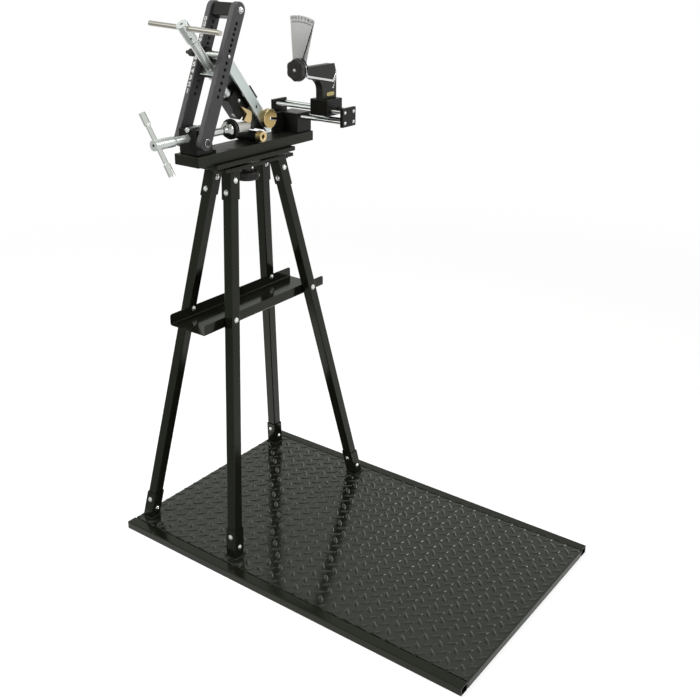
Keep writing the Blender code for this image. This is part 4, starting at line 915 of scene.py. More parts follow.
for corner in LEG_CORNERS:
    for kind, size in (("leg_", LEG_SIZE), ("foot_socket_", SOCKET_SIZE), ("head_socket_", SOCKET_SIZE)):
        low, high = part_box(kind + corner)
        tube = square_tube(leg_middle(corner, low.z), leg_middle(corner, high.z), (1, 0, 0), (0, 1, 0),
                           size, LEG_ROUND, LEG_WALL)
        piece(kind + corner + "_tube", tube, "stand", *ENAMELLED, kind + corner)

# %% [markdown]
# The sockets are welded to the plates, and the plate is stitched to its rails. A weld is a row of
# overlapping puddles, so a tree walks along a path and drops a flattened bead at each step, turned along
# the path and a little uneven in size.

# %% Welds
WELD_STEP, WELD_FLAT = 0.0026, 0.8
SOCKET_WELD_OUT = 0.0008
STITCH_LENGTH, STITCH_PITCH, STITCH_SUNK, STITCH_STEPS = 0.009, 0.049, 0.0012, 4
# A bead's radius, its stretch along the path, how uneven beads are, and the seed of that chance
SOCKET_WELD, STITCH_WELD = (0.0042, 0.75, 0.18, 4), (0.0034, 0.9, 0.22, 9)

weld_tree, inputs = shape_tree("weld_bead", [
    ("Path", "Geometry"), ("Step", "Float"), ("Radius", "Float"), ("Stretch", "Float"),
    ("Uneven", "Float"), ("Seed", "Int"), ("Finish", "Material")])
route = add(weld_tree, "GeometryNodeMeshToCurve", {"Mesh": inputs["Path"]})
steps = add(weld_tree, "GeometryNodeResampleCurve", {"Curve": route.outputs[0], "Length": inputs["Step"]},
            mode="LENGTH")
puddle = add(weld_tree, "GeometryNodeMeshUVSphere", {"Segments": 10, "Rings": 6, "Radius": inputs["Radius"]})
heading = add(weld_tree, "FunctionNodeAlignRotationToVector",
              {"Vector": add(weld_tree, "GeometryNodeInputTangent").outputs[0]}, axis="X")
chance = add(weld_tree, "FunctionNodeRandomValue", {"Seed": inputs["Seed"]}, data_type="FLOAT")
for number, change in ((2, "SUBTRACT"), (3, "ADD")):       # the least and the most that a bead may be
    weld_tree.links.new(maths(weld_tree, change, 1.0, inputs["Uneven"]), chance.inputs[number])
shape = add(weld_tree, "ShaderNodeCombineXYZ", {"X": inputs["Stretch"], "Y": 1.0, "Z": WELD_FLAT})
size = add(weld_tree, "ShaderNodeVectorMath", {0: shape.outputs[0], "Scale": chance.outputs[1]},
           operation="SCALE")
beads = on_points(weld_tree, steps.outputs[0], puddle.outputs["Mesh"], Rotation=heading.outputs[0],
                  Scale=size.outputs[0])
end_tree(weld_tree, beads, inputs["Finish"])


def weld_along(paths, radius, stretch, uneven, seed):
    """Weld beads along each list of points."""
    mesh = bpy.data.meshes.new("path")
    points, edges = [], []
    for path in paths:
        start = len(points)
        points += [tuple(point) for point in path]
        edges += [(start + step, start + step + 1) for step in range(len(path) - 1)]
    mesh.from_pydata(points, edges, [])
    return grown(weld_tree, {"Step": WELD_STEP, "Radius": radius, "Stretch": stretch, "Uneven": uneven,
                             "Seed": seed, "Finish": black_enamel}, mesh)


rings = []
for corner in LEG_CORNERS:
    for level in (LEG_LOW, LEG_HIGH):
        centre = leg_middle(corner, level)
        out_x, out_y = [side / 2 + SOCKET_WELD_OUT for side in SOCKET_SIZE]
        corners = ((1, 1), (-1, 1), (-1, -1), (1, -1), (1, 1))
        rings.append([centre + Vector((x * out_x, y * out_y, 0)) for x, y in corners])
stitches = []
for seam in (PLATE_LOW.y, PLATE_HIGH.y):
    for number in range(int((PLATE_HIGH.x - PLATE_LOW.x) / STITCH_PITCH)):
        start = PLATE_LOW.x + (number + 0.5) * STITCH_PITCH
        stitches.append([(start + STITCH_LENGTH * step / STITCH_STEPS, seam, PLATE_TOP - STITCH_SUNK)
                         for step in range(STITCH_STEPS + 1)])
welds = joined(weld_along(rings, *SOCKET_WELD), weld_along(stitches, *STITCH_WELD))
piece("stand_welds", welds, "stand", *ENAMELLED, sharp=60)

# %% [markdown]
# The stand's top plate and the folded tool tray come next. The plate is flat bar, bored for the swivel's
# stud. The tray is 2 mm sheet bent up along both sides, with its flange corners rounded off, and it hangs
# between the legs.

# %% Stand top and tool tray
FLAT_EASE = 0.0015
STUD_BORE = 0.0093
low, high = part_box("stand_top_plate")
plate = drilled(soft_block(low, high, FLAT_EASE), [(at(STAND_X, 0, high.z), STUD_BORE, THROUGH)])
piece("stand_top_flat", plate, "stand", *ENAMELLED, "stand_top_plate")

TRAY_SHEET, TRAY_BEND, TRAY_CORNER = 0.002, 0.004, 0.008
TRAY_LOW, TRAY_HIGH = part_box("tool_shelf")


def tray_mesh():
    """A sheet folded up on both sides: rings of its section along the tray, flange corners rounded."""
    work = bmesh.new()
    half, long_half = (TRAY_HIGH.x - TRAY_LOW.x) / 2, (TRAY_HIGH.y - TRAY_LOW.y) / 2
    outer_bend = TRAY_BEND + TRAY_SHEET
    bend_middle = (half - outer_bend, TRAY_LOW.z + outer_bend)
    drops = arc((0, 0), TRAY_CORNER, 0, 90, 6)
    ends = [(long_half - TRAY_CORNER + x, TRAY_CORNER - y) for x, y in reversed(drops)]
    stations = [(-along, drop) for along, drop in reversed(ends)] + ends
    rings = []
    for along, drop in stations:
        rim = TRAY_HIGH.z - drop
        inner = [(half - TRAY_SHEET, rim)] + arc(bend_middle, TRAY_BEND, 0, -90, 5)
        inner += [(-x, z) for x, z in reversed(inner)]
        outer = [(half, rim)] + arc(bend_middle, outer_bend, 0, -90, 5)
        outer += [(-x, z) for x, z in reversed(outer)]
        loop = inner + list(reversed(outer))
        rings.append([work.verts.new((STAND_X + x, along, z)) for x, z in loop])
    for first, second in zip(rings, rings[1:]):
        band(work, first, second)
    for ring in (rings[0], rings[-1]):
        for step in range(len(ring) // 2 - 1):
            work.faces.new((ring[step], ring[step + 1], ring[-step - 2], ring[-step - 1]))
    return closed(work)


piece("tool_tray_sheet", tray_mesh(), "stand", *ENAMELLED, "tool_shelf")

# %% [markdown]
# Zinc button-head bolts hold the legs in their sockets and the tray to the legs, with nuts on the far
# sides, and cap screws hold the machine's blocks. One of each head is modelled, with a radius of one, and
# a tree sets it on points that carry the way they face.

# %% Bolt heads
head_tree, inputs = shape_tree("heads_on_points", [
    ("Points", "Geometry"), ("Head", "Object"), ("Size", "Float"), ("Finish", "Material")])
head_shape = add(head_tree, "GeometryNodeObjectInfo", {"Object": inputs["Head"]}).outputs["Geometry"]
facing = add(head_tree, "GeometryNodeInputNamedAttribute", {"Name": "facing"}, data_type="FLOAT_VECTOR")
turn_to = add(head_tree, "FunctionNodeAlignRotationToVector", {"Vector": facing.outputs["Attribute"]},
              axis="Z")
heads = on_points(head_tree, inputs["Points"], head_shape, Rotation=turn_to.outputs[0],
                  Scale=inputs["Size"])
end_tree(head_tree, heads, inputs["Finish"])


def hex_bar(radius, depth, level):
    """A bmesh of a hexagon bar round the Z axis, with its middle at a level."""
    work = bmesh.new()
    bmesh.ops.create_cone(work, cap_ends=True, segments=6, radius1=radius, radius2=radius, depth=depth,
                          matrix=at(0, 0, level))
    return work


def hex_recess(mesh, radius, depth, top):
    """Cut a hexagon socket into the top of a head."""
    return cut_by(mesh, closed(hex_bar(radius, 2 * depth, top)))


def button_head():
    """A dome on a thin washer, with a hexagon socket; 1 unit is its radius."""
    dome = turned([(0, -0.05), (1.22, -0.05), (1.22, 0.14), (1.0, 0.16), (0.96, 0.34), (0.78, 0.58),
                   (0.5, 0.70), (0, 0.74)], Matrix(), 32, 0.05)
    return hex_recess(dome, 0.38, 0.34, 0.74)


def cap_head():
    """A straight-sided cap screw with a hexagon socket; 1 unit is its radius."""
    return hex_recess(round_bar(1.0, -0.05, 1.0, Matrix(), 32, 0.12), 0.52, 0.55, 1.0)


def hex_nut():
    """A hexagon nut with the bolt's end standing in it; 1 unit is half its width."""
    work = hex_bar(1.12, 0.85, 0.40)
    bmesh.ops.bevel(work, geom=work.edges[:], offset=0.06, segments=1, affect="EDGES")
    return joined(closed(work), round_bar(0.55, -0.1, 1.1, Matrix(), 20, 0.08))


def heads_on(points, head, radius, finish):
    """Set a head on each (place, facing) pair."""
    seed = bpy.data.meshes.new("head_points")
    seed.from_pydata([tuple(point) for point, _ in points], [], [])
    aim = seed.attributes.new("facing", "FLOAT_VECTOR", "POINT")
    aim.data.foreach_set("vector", [part for _, way in points for part in Vector(way).normalized()])
    model = placed("head", head())
    mesh = grown(head_tree, {"Head": model, "Size": radius, "Finish": finish}, seed)
    bpy.data.objects.remove(model)
    return mesh


print("bolt head tree", [item.name for item in head_tree.interface.items_tree])

# %% [markdown]
# Each leg has two bolts through each socket, one in each direction, and one through the tray. The near
# pair of legs has the tray's bolt heads outside, and the far pair has them inside the tray.

# %% Bolts on the stand
BOLT_RADIUS, NUT_SHARE = 0.0064, 0.95
LEG_BOLTS = (("y", 0.088), ("x", 0.056), ("x", 1.1115), ("y", 1.079))   # direction and height
TRAY_BOLT, TRAY_BOLT_INSIDE = 0.727, 0.7235
bolt_points, nut_points = [], []
for corner, (side_x, side_y) in LEG_CORNERS.items():
    way_x = Vector((1, 0, -side_x * LEG_LEAN_X))
    way_y = Vector((0, -1, side_y * LEG_LEAN_Y))
    for direction, level in LEG_BOLTS:
        way = way_x if direction == "x" else way_y
        step = Vector((SOCKET_SIZE[0] / 2, 0, 0)) if direction == "x" else Vector((0, -SOCKET_SIZE[1] / 2, 0))
        centre = leg_middle(corner, level)
        bolt_points.append((centre + step, way))
        nut_points.append((centre - step, -way))
    centre = leg_middle(corner, TRAY_BOLT)
    step = Vector((LEG_SIZE[0] / 2, 0, 0))
    if side_x > 0:
        bolt_points.append((centre + step, way_x))
        nut_points.append(((TRAY_HIGH.x - TRAY_SHEET, centre.y, TRAY_BOLT_INSIDE), (-1, 0, 0)))
    else:
        bolt_points.append(((TRAY_LOW.x + TRAY_SHEET, centre.y, TRAY_BOLT_INSIDE), (1, 0, 0)))
        nut_points.append((centre - step, -way_x))
bolts = joined(heads_on(bolt_points, button_head, BOLT_RADIUS, bolt_zinc),
               heads_on(nut_points, hex_nut, BOLT_RADIUS * NUT_SHARE, bolt_zinc))
piece("stand_bolts", bolts, "stand", "zinc_plate", bolt_zinc)

# %% [markdown]
# Under the stand a ribbed hand knob locks the swivel. Its grip is a ring of rounded ribs, so a tree puts a
# small bar on each point of a circle. The same tree makes the ribs of the small pull knob on the cross pin.

# %% Swivel and its knob
BEARING_RADIUS, BEARING_THICK, STUD_RADIUS = 0.045, 0.0046, 0.009
KNOB_RIBS, KNOB_RIB = 44, 0.0016
KNOB_NECK, NECK_RADIUS = 0.026, 0.016
KNOB_LOW_EDGE, KNOB_RIB_SHORT = 0.003, 0.003
ON_STAND = at(STAND_X, 0, 0)

grip_tree, inputs = shape_tree("grip_ribs", [
    ("Ribs", "Int"), ("Ring Radius", "Float"), ("Rib Radius", "Float"), ("Rib Length", "Float"),
    ("Finish", "Material")])
ring = add(grip_tree, "GeometryNodeMeshCircle", {
    "Vertices": inputs["Ribs"], "Radius": inputs["Ring Radius"]})
rib = add(grip_tree, "GeometryNodeMeshCylinder", {
    "Vertices": 10, "Radius": inputs["Rib Radius"], "Depth": inputs["Rib Length"]})
end_tree(grip_tree, on_points(grip_tree, ring.outputs["Mesh"], rib.outputs["Mesh"]), inputs["Finish"])


def ribs_round(count, ring_radius, rib_radius, length, where):
    """A ring of grip ribs round the Z axis of a place."""
    ribs = grown(grip_tree, {"Ribs": count, "Ring Radius": ring_radius, "Rib Radius": rib_radius,
                             "Rib Length": length, "Finish": knob_plastic})
    ribs.transform(where)
    return ribs


low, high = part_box("swivel_plate")
piece("swivel_flat", soft_block(low, high, FLAT_EASE), "machine", *ENAMELLED, "swivel_plate")

low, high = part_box("swivel_stud")
washer_foot = high.z - BEARING_THICK
stud = turned([(0, high.z), (BEARING_RADIUS, high.z), (BEARING_RADIUS, washer_foot),
               (STUD_RADIUS, washer_foot), (STUD_RADIUS, low.z), (0, low.z)], ON_STAND)
piece("swivel_stud_turned", stud, "machine", "bright_steel", warm_steel, "swivel_stud")

low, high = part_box("clamp_knob")
knob_radius = (high.x - low.x) / 2
rib_ring = knob_radius - KNOB_RIB
grip_low, grip_high = low.z + KNOB_LOW_EDGE, high.z - KNOB_NECK
# From the neck's top down over the grip, to a shallow dish underneath
knob = turned([(0, high.z), (NECK_RADIUS, high.z), (NECK_RADIUS - 0.0005, grip_high + 0.002),
               (knob_radius - 0.004, grip_high + 0.001), (rib_ring, grip_high - 0.002), (rib_ring, grip_low),
               (knob_radius - 0.005, low.z), (0.008, low.z), (0.007, low.z + 0.002), (0, low.z + 0.002)],
              ON_STAND, ease=0.002)
ribs = ribs_round(KNOB_RIBS, rib_ring, KNOB_RIB, grip_high - grip_low - KNOB_RIB_SHORT,
                  at(STAND_X, 0, (grip_low + grip_high) / 2))
piece("swivel_lock_knob", joined(knob, ribs), "swivel_lock", "black_plastic", knob_plastic, "clamp_knob")

# %% [markdown]
# The machine stands on a long black bar. A block at one end holds the clamp screw and the pivots of the
# swing frame, and a second block at the other end carries the gauge. They are plain bar stock, eased at
# the edges and bored.

# %% Base bar and blocks
BAR_EASE, BLOCK_EASE = 0.002, 0.0016
CAP_RADIUS, CAP_CLEAR, CAP_SINK = 0.0070, 0.0006, 0.008
SIDE_BORE = 0.0109
PIVOT_BORE, PIVOT_DEEP = 0.0083, 0.033
ROD_RADIUS = 0.0058
SIDE_AXIS = Vector(joint_place["pad_screw_turn"])
SWING_PIVOT = Vector(joint_place["frame_swing"])

low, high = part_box("base_bar")
BAR_TOP = high.z
BAR_SCREW = Vector((-0.4018, 0.1486, BAR_TOP))
bar = drilled(soft_block(low, high, BAR_EASE), [(at(*BAR_SCREW), CAP_RADIUS + CAP_CLEAR, 2 * CAP_SINK)])
piece("base_bar_stock", bar, "machine", "blacked_steel", bar_black, "base_bar")

low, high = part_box("screw_block")
BLOCK_FACE = low.y
bores = [(at(SIDE_AXIS.x, (low.y + high.y) / 2, SIDE_AXIS.z) @ ALONG_Y, SIDE_BORE, THROUGH)]
bores += [(at(x, SWING_PIVOT.y, SWING_PIVOT.z) @ ALONG_X, PIVOT_BORE, PIVOT_DEEP) for x in (low.x, high.x)]
block = drilled(soft_block(low, high, BLOCK_EASE), bores)
piece("screw_block_stock", block, "machine", *BLACKED, "screw_block")

rods = {name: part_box(name) for name in ("lower_inner_rod", "lower_outer_rod", "upper_inner_rod",
                                        "upper_outer_rod")}
rod_middle = {name: (ends[0] + ends[1]) / 2 for name, ends in rods.items()}
GAUGE_LOW, GAUGE_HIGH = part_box("gauge_block")
block = drilled(soft_block(GAUGE_LOW, GAUGE_HIGH, BLOCK_EASE),
                [(at(*rod_middle[name]) @ ALONG_X, ROD_RADIUS, THROUGH)
                 for name in ("lower_inner_rod", "lower_outer_rod")])
piece("gauge_block_stock", block, "machine", *BLACKED, "gauge_block")

# %% [markdown]
# Small trim of the base: black cap screws that hold it down, one of them sunk in the bar, a round stop rod
# across the top of the screw block with a domed end, and a side plate that leads from the gauge block
# towards the vise.

# %% Trim of the base
CAP_PLACES = ((-0.3765, -0.1557), (-0.4235, -0.1557))
CAP_SEAT = 0.0078         # just above the floor of its counterbore
UPWARD = (0, 0, 1)
STOP_RADIUS, STOP_OUT, STOP_IN, STOP_DOME = 0.0074, -0.2385, -0.1780, 0.0035
STOP_ASIDE, STOP_HEIGHT = 0.006, 1.2640
SIDE_PLATE_X = (-0.428, -0.418)
SIDE_PLATE_LONG, SIDE_PLATE_LAP = 0.046, 0.001

cap_points = [((x, y, BAR_TOP), UPWARD) for x, y in CAP_PLACES]
cap_points.append((BAR_SCREW - Vector((0, 0, CAP_SEAT)), UPWARD))
piece("bar_cap_screws", heads_on(cap_points, cap_head, CAP_RADIUS, machine_black), "machine", *BLACKED)

stop_rod = turned([(0, STOP_OUT), (STOP_RADIUS * 0.6, STOP_OUT + STOP_DOME * 0.2),
                   (STOP_RADIUS, STOP_OUT + STOP_DOME), (STOP_RADIUS, STOP_IN), (0, STOP_IN)],
                  at(SIDE_AXIS.x + STOP_ASIDE, 0, STOP_HEIGHT) @ ALONG_Y, 48, 0.0016)
piece("block_stop_rod", stop_rod, "machine", *PLATED)

side_plate = soft_block((SIDE_PLATE_X[0], GAUGE_LOW.y - SIDE_PLATE_LONG, GAUGE_LOW.z),
                        (SIDE_PLATE_X[1], GAUGE_LOW.y + SIDE_PLATE_LAP, GAUGE_HIGH.z), BLOCK_EASE)
piece("gauge_block_side_plate", side_plate, "machine", *BLACKED)

# %% [markdown]
# The swing frame is two thick arms with a row of holes for the cross pin. Each arm is a flat outline with
# round ends, and its rims are well rounded under a matte grey coat. The arms turn on shoulder bolts in
# the screw block and are joined by a spreader at the top.

# %% Swing frame
ARM_LEAN, ARM_LENGTH, ARM_HALF = 24.4, 0.357, 0.0218
ARM_EDGE, ARM_HOLE_EDGE, ARM_EDGE_STEPS = 0.0028, 0.0006, 4
HOLE_RADIUS, HOLES_EACH_WAY = 0.0048, 6
UPPER_PITCH, LOWER_PITCH = 0.0146, 0.0182
PIN_PLACE = Vector(joint_place["clamp_lift"])
PIN_RISE = (PIN_PLACE - SWING_PIVOT).length
SWING = at(*SWING_PIVOT) @ turn_about("X", -ARM_LEAN)

arm_outline = arc((0, 0), ARM_HALF, 180, 360, 32) + arc((0, ARM_LENGTH), ARM_HALF, 0, 180, 32)
hole_rises = [PIN_RISE + number * (UPPER_PITCH if number > 0 else LOWER_PITCH)
              for number in range(HOLES_EACH_WAY, -HOLES_EACH_WAY - 1, -1)]
arm_loops = [arm_outline, ring_of((0, 0), PIVOT_BORE, 40)]
arm_loops += [ring_of((0, rise), HOLE_RADIUS, 24) for rise in hole_rises]
arm_faces = {}
for node in ("near_arm", "far_arm"):
    low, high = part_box(node)
    arm_faces[node] = (low.x, high.x)
    arm = plate_across_x(arm_loops, low.x, high.x, SWING, ARM_EDGE, ARM_HOLE_EDGE, ARM_EDGE_STEPS)
    piece(node + "_plate", arm, "swing_frame", "grey_arm_finish", arm_grey, node)
outer_faces = {1: arm_faces["near_arm"][1], -1: arm_faces["far_arm"][0]}

SPREADER_HALF = (arm_faces["near_arm"][0] - arm_faces["far_arm"][1]) / 2
SPREADER_DEEP, SPREADER_DOWN, SPREADER_UP, SPREADER_EASE = 0.015, 0.021, 0.015, 0.002
spreader = soft_block((-SPREADER_HALF, -SPREADER_DEEP, ARM_LENGTH - SPREADER_DOWN),
                      (SPREADER_HALF, SPREADER_DEEP, ARM_LENGTH + SPREADER_UP), SPREADER_EASE, SWING)
piece("arm_spreader_stock", spreader, "swing_frame", *BLACKED, "arm_spreader")

# %% [markdown]
# The shoulder bolts have a bright rim round a grey hexagon-socket core, so each is two turned shapes with
# a finish of its own. Smaller button heads hold the spreader.

# %% Bolts of the swing frame
PIVOT_HEAD, PIVOT_CORE, PIVOT_SHANK = 0.0105, 0.0088, 0.008
PIVOT_LONG, PIVOT_GAP = 0.034, 0.0003
PIVOT_RIM, PIVOT_CUP = 0.0046, 0.0030         # how far the rim stands out, and the floor inside it
CORE_FOOT, CORE_TOP = 0.002, 0.0068
CORE_HEX, CORE_HEX_DEEP = 0.0042, 0.0028
SPREADER_BOLT, SPREADER_BOLT_RADIUS = (0, 0.0030, ARM_LENGTH + 0.0016), 0.0074

for node, way in (("near_pivot_bolt", 1), ("far_pivot_bolt", -1)):
    out = at(outer_faces[way], SWING_PIVOT.y, SWING_PIVOT.z) @ turn_about("Y", 90 * way)
    cup = PIVOT_CORE + PIVOT_GAP
    shank = turned([(0, -PIVOT_LONG), (PIVOT_SHANK, -PIVOT_LONG), (PIVOT_SHANK, PIVOT_GAP),
                    (PIVOT_HEAD, PIVOT_GAP), (PIVOT_HEAD, PIVOT_RIM), (cup, PIVOT_RIM + 0.0004),
                    (cup, PIVOT_CUP), (0, PIVOT_CUP)], out, ease=0.0006)
    core = round_bar(PIVOT_CORE, CORE_FOOT, CORE_TOP, Matrix(), 48, 0.0008)
    core = hex_recess(core, CORE_HEX, CORE_HEX_DEEP, CORE_TOP)
    core.transform(out)
    piece(node + "_turned", joined((shank, 0), (core, 1)), "machine", "zinc_plate",
          [turned_zinc, arm_grey], node)

spot = SWING @ Vector(SPREADER_BOLT)
top_bolts = [((face, spot.y, spot.z), (way, 0, 0)) for way, face in outer_faces.items()]
piece("spreader_bolts", heads_on(top_bolts, button_head, SPREADER_BOLT_RADIUS, turned_zinc), "swing_frame",
      *PLATED)

# %% [markdown]
# Faded white numerals beside the holes of the far arm let the operator find the same pin hole again.
# Blender's text becomes a mesh before it is placed, a hair proud of the arm's edge like a thick print.

# %% Pin hole numbers
NUMBER_SIZE, NUMBER_RELIEF, NUMBER_BOLD = 0.0165, 0.00012, 0.0007
NUMBER_WIDE, PAIR_SQUEEZE = 1.25, 0.55    # single digits are wide, pairs are squeezed to fit the arm


def numeral(text, size, where, bold=0.0):
    """A flat printed numeral centred on a place, reading along its X."""
    letters = bpy.data.curves.new("numeral", "FONT")
    letters.body = text
    letters.size = size
    letters.align_x = "CENTER"
    letters.align_y = "CENTER"
    letters.resolution_u = 3
    letters.extrude = NUMBER_RELIEF
    letters.offset = bold
    mesh = evaluated(letters)
    mesh.transform(where)
    return mesh


arm_middle = sum(arm_faces["far_arm"]) / 2 - SWING_PIVOT.x
numbers = []
for count, rise in enumerate(reversed(hole_rises), 1):
    squeeze = Matrix.Diagonal((NUMBER_WIDE if count < 10 else NUMBER_WIDE * PAIR_SQUEEZE, 1, 1, 1))
    on_edge = SWING @ at(arm_middle, -ARM_HALF, rise) @ PLATE_FACING_Y @ squeeze
    numbers.append(numeral(str(count), NUMBER_SIZE, on_edge, NUMBER_BOLD))
piece("pin_hole_numbers", joined(*numbers), "swing_frame", "grey_arm_finish", number_white)

# %% [markdown]
# The cross pin slides through both arms and the clamp. Its far end has a small ribbed pull knob with a
# waist behind the grip and a thin collar against the arm.

# %% Cross pin
PIN_RADIUS = 0.0045
NUB_RADIUS, NUB_LENGTH = 0.005, 0.009
PULL_RIBS, PULL_RIB, PULL_GRIP = 22, 0.0009, 0.017
ON_PIN = at(0, PIN_PLACE.y, PIN_PLACE.z) @ ALONG_X

low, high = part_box("cross_pin")
pin = round_bar(PIN_RADIUS, low.x, high.x, ON_PIN, 40, 0.0012)
piece("cross_pin_turned", pin, "pin", "bright_steel", turned_zinc, "cross_pin")

low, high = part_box("pin_knob")
pull_radius = (high.z - low.z) / 2
nub, grip = low.x + NUB_LENGTH, pull_radius - PULL_RIB
grip_start = nub + 0.005
grip_end = grip_start + PULL_GRIP
knob = turned([(0, low.x), (NUB_RADIUS, low.x), (NUB_RADIUS, nub), (grip * 0.8, nub + 0.001),
               (grip, grip_start), (grip, grip_end), (grip * 0.72, grip_end + 0.005),
               (grip * 0.78, high.x - 0.005), (pull_radius, high.x - 0.003), (pull_radius, high.x),
               (0, high.x)], ON_PIN, ease=0.0016)
grip_middle = at((grip_start + grip_end) / 2, PIN_PLACE.y, PIN_PLACE.z) @ ALONG_X
ribs = ribs_round(PULL_RIBS, grip, PULL_RIB, PULL_GRIP, grip_middle)
piece("pin_pull_knob", joined(knob, ribs), "pin", "black_plastic", knob_plastic, "pin_knob")

# %% [markdown]
# The hold-down clamp hangs on the cross pin and slopes down to the vise. Its near side is a zinc-plated
# strap, its far side a black guide bar, with a nut plate for the screw between them. The strap and bar
# share one outline, drawn in the clamp's own frame with Z up the slope.

# %% Hold-down clamp
CLAMP_SLOPE = 51.2
CLAMP = at(*PIN_PLACE) @ turn_about("X", 90 - CLAMP_SLOPE)
STRAP_LOW, STRAP_HIGH, STRAP_TIP, STRAP_ROUND = -0.0096, 0.0204, -0.2884, 0.012
STRAP_HOLE, STRAP_HOLE_RADIUS = (0.0054, -0.1954), 0.0045
STRAP_EDGE, EYE_RADIUS = 0.0007, 0.0145
CHEEK, GUIDE_INSET, GUIDE_TOP = 0.008, 0.0015, -0.0282
SLEEVE_BORE, SLEEVE_RADIUS = 0.0049, 0.010

strap = arc((STRAP_LOW + STRAP_ROUND, STRAP_TIP + STRAP_ROUND), STRAP_ROUND, 180, 270, 10)
strap += arc((STRAP_HIGH - STRAP_ROUND, STRAP_TIP + STRAP_ROUND), STRAP_ROUND, 270, 360, 10)
strap += arc((STRAP_HIGH - STRAP_ROUND, EYE_RADIUS - STRAP_ROUND), STRAP_ROUND, 0, 90, 8)
eye_end = 360 - math.degrees(math.acos(STRAP_LOW / EYE_RADIUS))      # where the eye meets the strap's edge
strap += arc((0, 0), EYE_RADIUS, 90, eye_end, 24)
pin_eye = ring_of((0, 0), HOLE_RADIUS)
low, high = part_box("near_clamp_plate")
near_strap = plate_across_x([strap, pin_eye, ring_of(STRAP_HOLE, STRAP_HOLE_RADIUS)], low.x, high.x, CLAMP,
                            STRAP_EDGE)
piece("near_clamp_strap", near_strap, "clamp", "zinc_plate", zinc, "near_clamp_plate")

low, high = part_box("clamp_bar")
far_cheek = plate_across_x([strap, pin_eye], low.x, low.x + CHEEK, CLAMP, STRAP_EDGE)
guide = soft_block((low.x + CHEEK / 2 - PIN_PLACE.x, STRAP_LOW + GUIDE_INSET, STRAP_TIP + STRAP_ROUND),
                   (high.x - PIN_PLACE.x, STRAP_HIGH - GUIDE_INSET, GUIDE_TOP), 0.001, CLAMP)
piece("clamp_guide_bar", joined(far_cheek, guide), "clamp", *BLACKED, "clamp_bar")

low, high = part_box("clamp_sleeve")
sleeve = round_tube(SLEEVE_BORE, SLEEVE_RADIUS, low.x, high.x, ON_PIN, ease=0.0008)
piece("clamp_sleeve_turned", sleeve, "clamp", *PLATED, "clamp_sleeve")

# %% [markdown]
# The nut plate is a flat bar across the clamp with a round boss under it, bored for the hold-down screw.
# The screw's axis gets a frame of its own, which the jaw uses too. A short black strip on the strap's
# upper edge is a rest.

# %% Nut plate
SCREW_OFFSET = -0.0351
JAW_SCREW = CLAMP @ at(0, SCREW_OFFSET, 0)
NUT_TOP, NUT_BOTTOM, NUT_SPAN = -0.0159, -0.0279, (-0.0566, 0.0174)
THREAD_BORE, NUT_BORE_DEEP, BOSS_RADIUS, BOSS_END = 0.0129, 0.05, 0.018, -0.0439
REST_X, REST_Z, REST_THICK = (0.0265, 0.0325), (-0.1784, -0.1334), 0.006

low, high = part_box("clamp_nut_block")
nut_half = (high.x - low.x) / 2
nut_plate = soft_block((-nut_half, NUT_SPAN[0], NUT_BOTTOM), (nut_half, NUT_SPAN[1], NUT_TOP), 0.0012, CLAMP)
boss_start = (NUT_TOP + NUT_BOTTOM) / 2
boss = round_tube(THREAD_BORE, BOSS_RADIUS, boss_start, BOSS_END, JAW_SCREW, ease=0.001)
nut_plate = drilled(nut_plate, [(CLAMP @ at(0, SCREW_OFFSET, boss_start), THREAD_BORE, NUT_BORE_DEEP)])
piece("clamp_nut_plate", joined(nut_plate, boss), "clamp", *PLATED, "clamp_nut_block")

rest_strip = soft_block((REST_X[0], STRAP_HIGH, REST_Z[0]), (REST_X[1], STRAP_HIGH + REST_THICK, REST_Z[1]),
                        0.0008, CLAMP)
piece("clamp_rest_strip", rest_strip, "clamp", *BLACKED)

# %% [markdown]
# The slotted brass disc takes the end of a bending bar. Its face carries turning lines round the middle
# and its slot is cut straight through the rim, so the outline is an arc closed by the slot. Its rim takes a
# darker copy of the brass, painted shade for the side. A bright zinc strip along the slot's lower wall is a
# painted highlight for the light on that wall.

# %% Slotted brass disc
DISC_RADIUS, DISC_SLOT, DISC_TURN = 0.027, 0.009, -9.5
DISC_SPOT = (0.0154, -0.2504)            # across and along the clamp
SLOT_FLOOR, SLOT_CORNER = -0.0016, 0.001
RIM_FACING = 0.5                         # faces turned less than this along X belong to the rim
HIGHLIGHT_THICK, HIGHLIGHT_START, HIGHLIGHT_OUT, HIGHLIGHT_GAP = 0.0012, 0.0005, 0.001, 0.0001
HIGHLIGHT_NARROWER = 0.0006

disc_centre = CLAMP @ Vector((DISC_MIDDLE.x - PIN_PLACE.x, *DISC_SPOT))
disc_thick = DISC_HIGH.x - DISC_LOW.x
half_slot = DISC_SLOT / 2
opening = math.degrees(math.asin(half_slot / DISC_RADIUS))
disc_outline = arc((0, 0), DISC_RADIUS, opening, 360 - opening, 72)
disc_outline += [(0, -half_slot), (SLOT_FLOOR, SLOT_CORNER - half_slot),
                 (SLOT_FLOOR, half_slot - SLOT_CORNER), (0, half_slot)]
disc_place = at(*disc_centre) @ PLATE_FACING_X @ turn_about("Z", DISC_TURN)
disc = rounded_plate([disc_outline], disc_thick, disc_place)
# Rim faces take the darker brass: painted shade on the disc's side
for face in disc.polygons:
    face.material_index = int(abs(face.normal.x) < RIM_FACING)
piece("slotted_disc_turned", disc, "clamp", "brass", [disc_brass, rim_painted_shade_brass], "slotted_brass_disc")

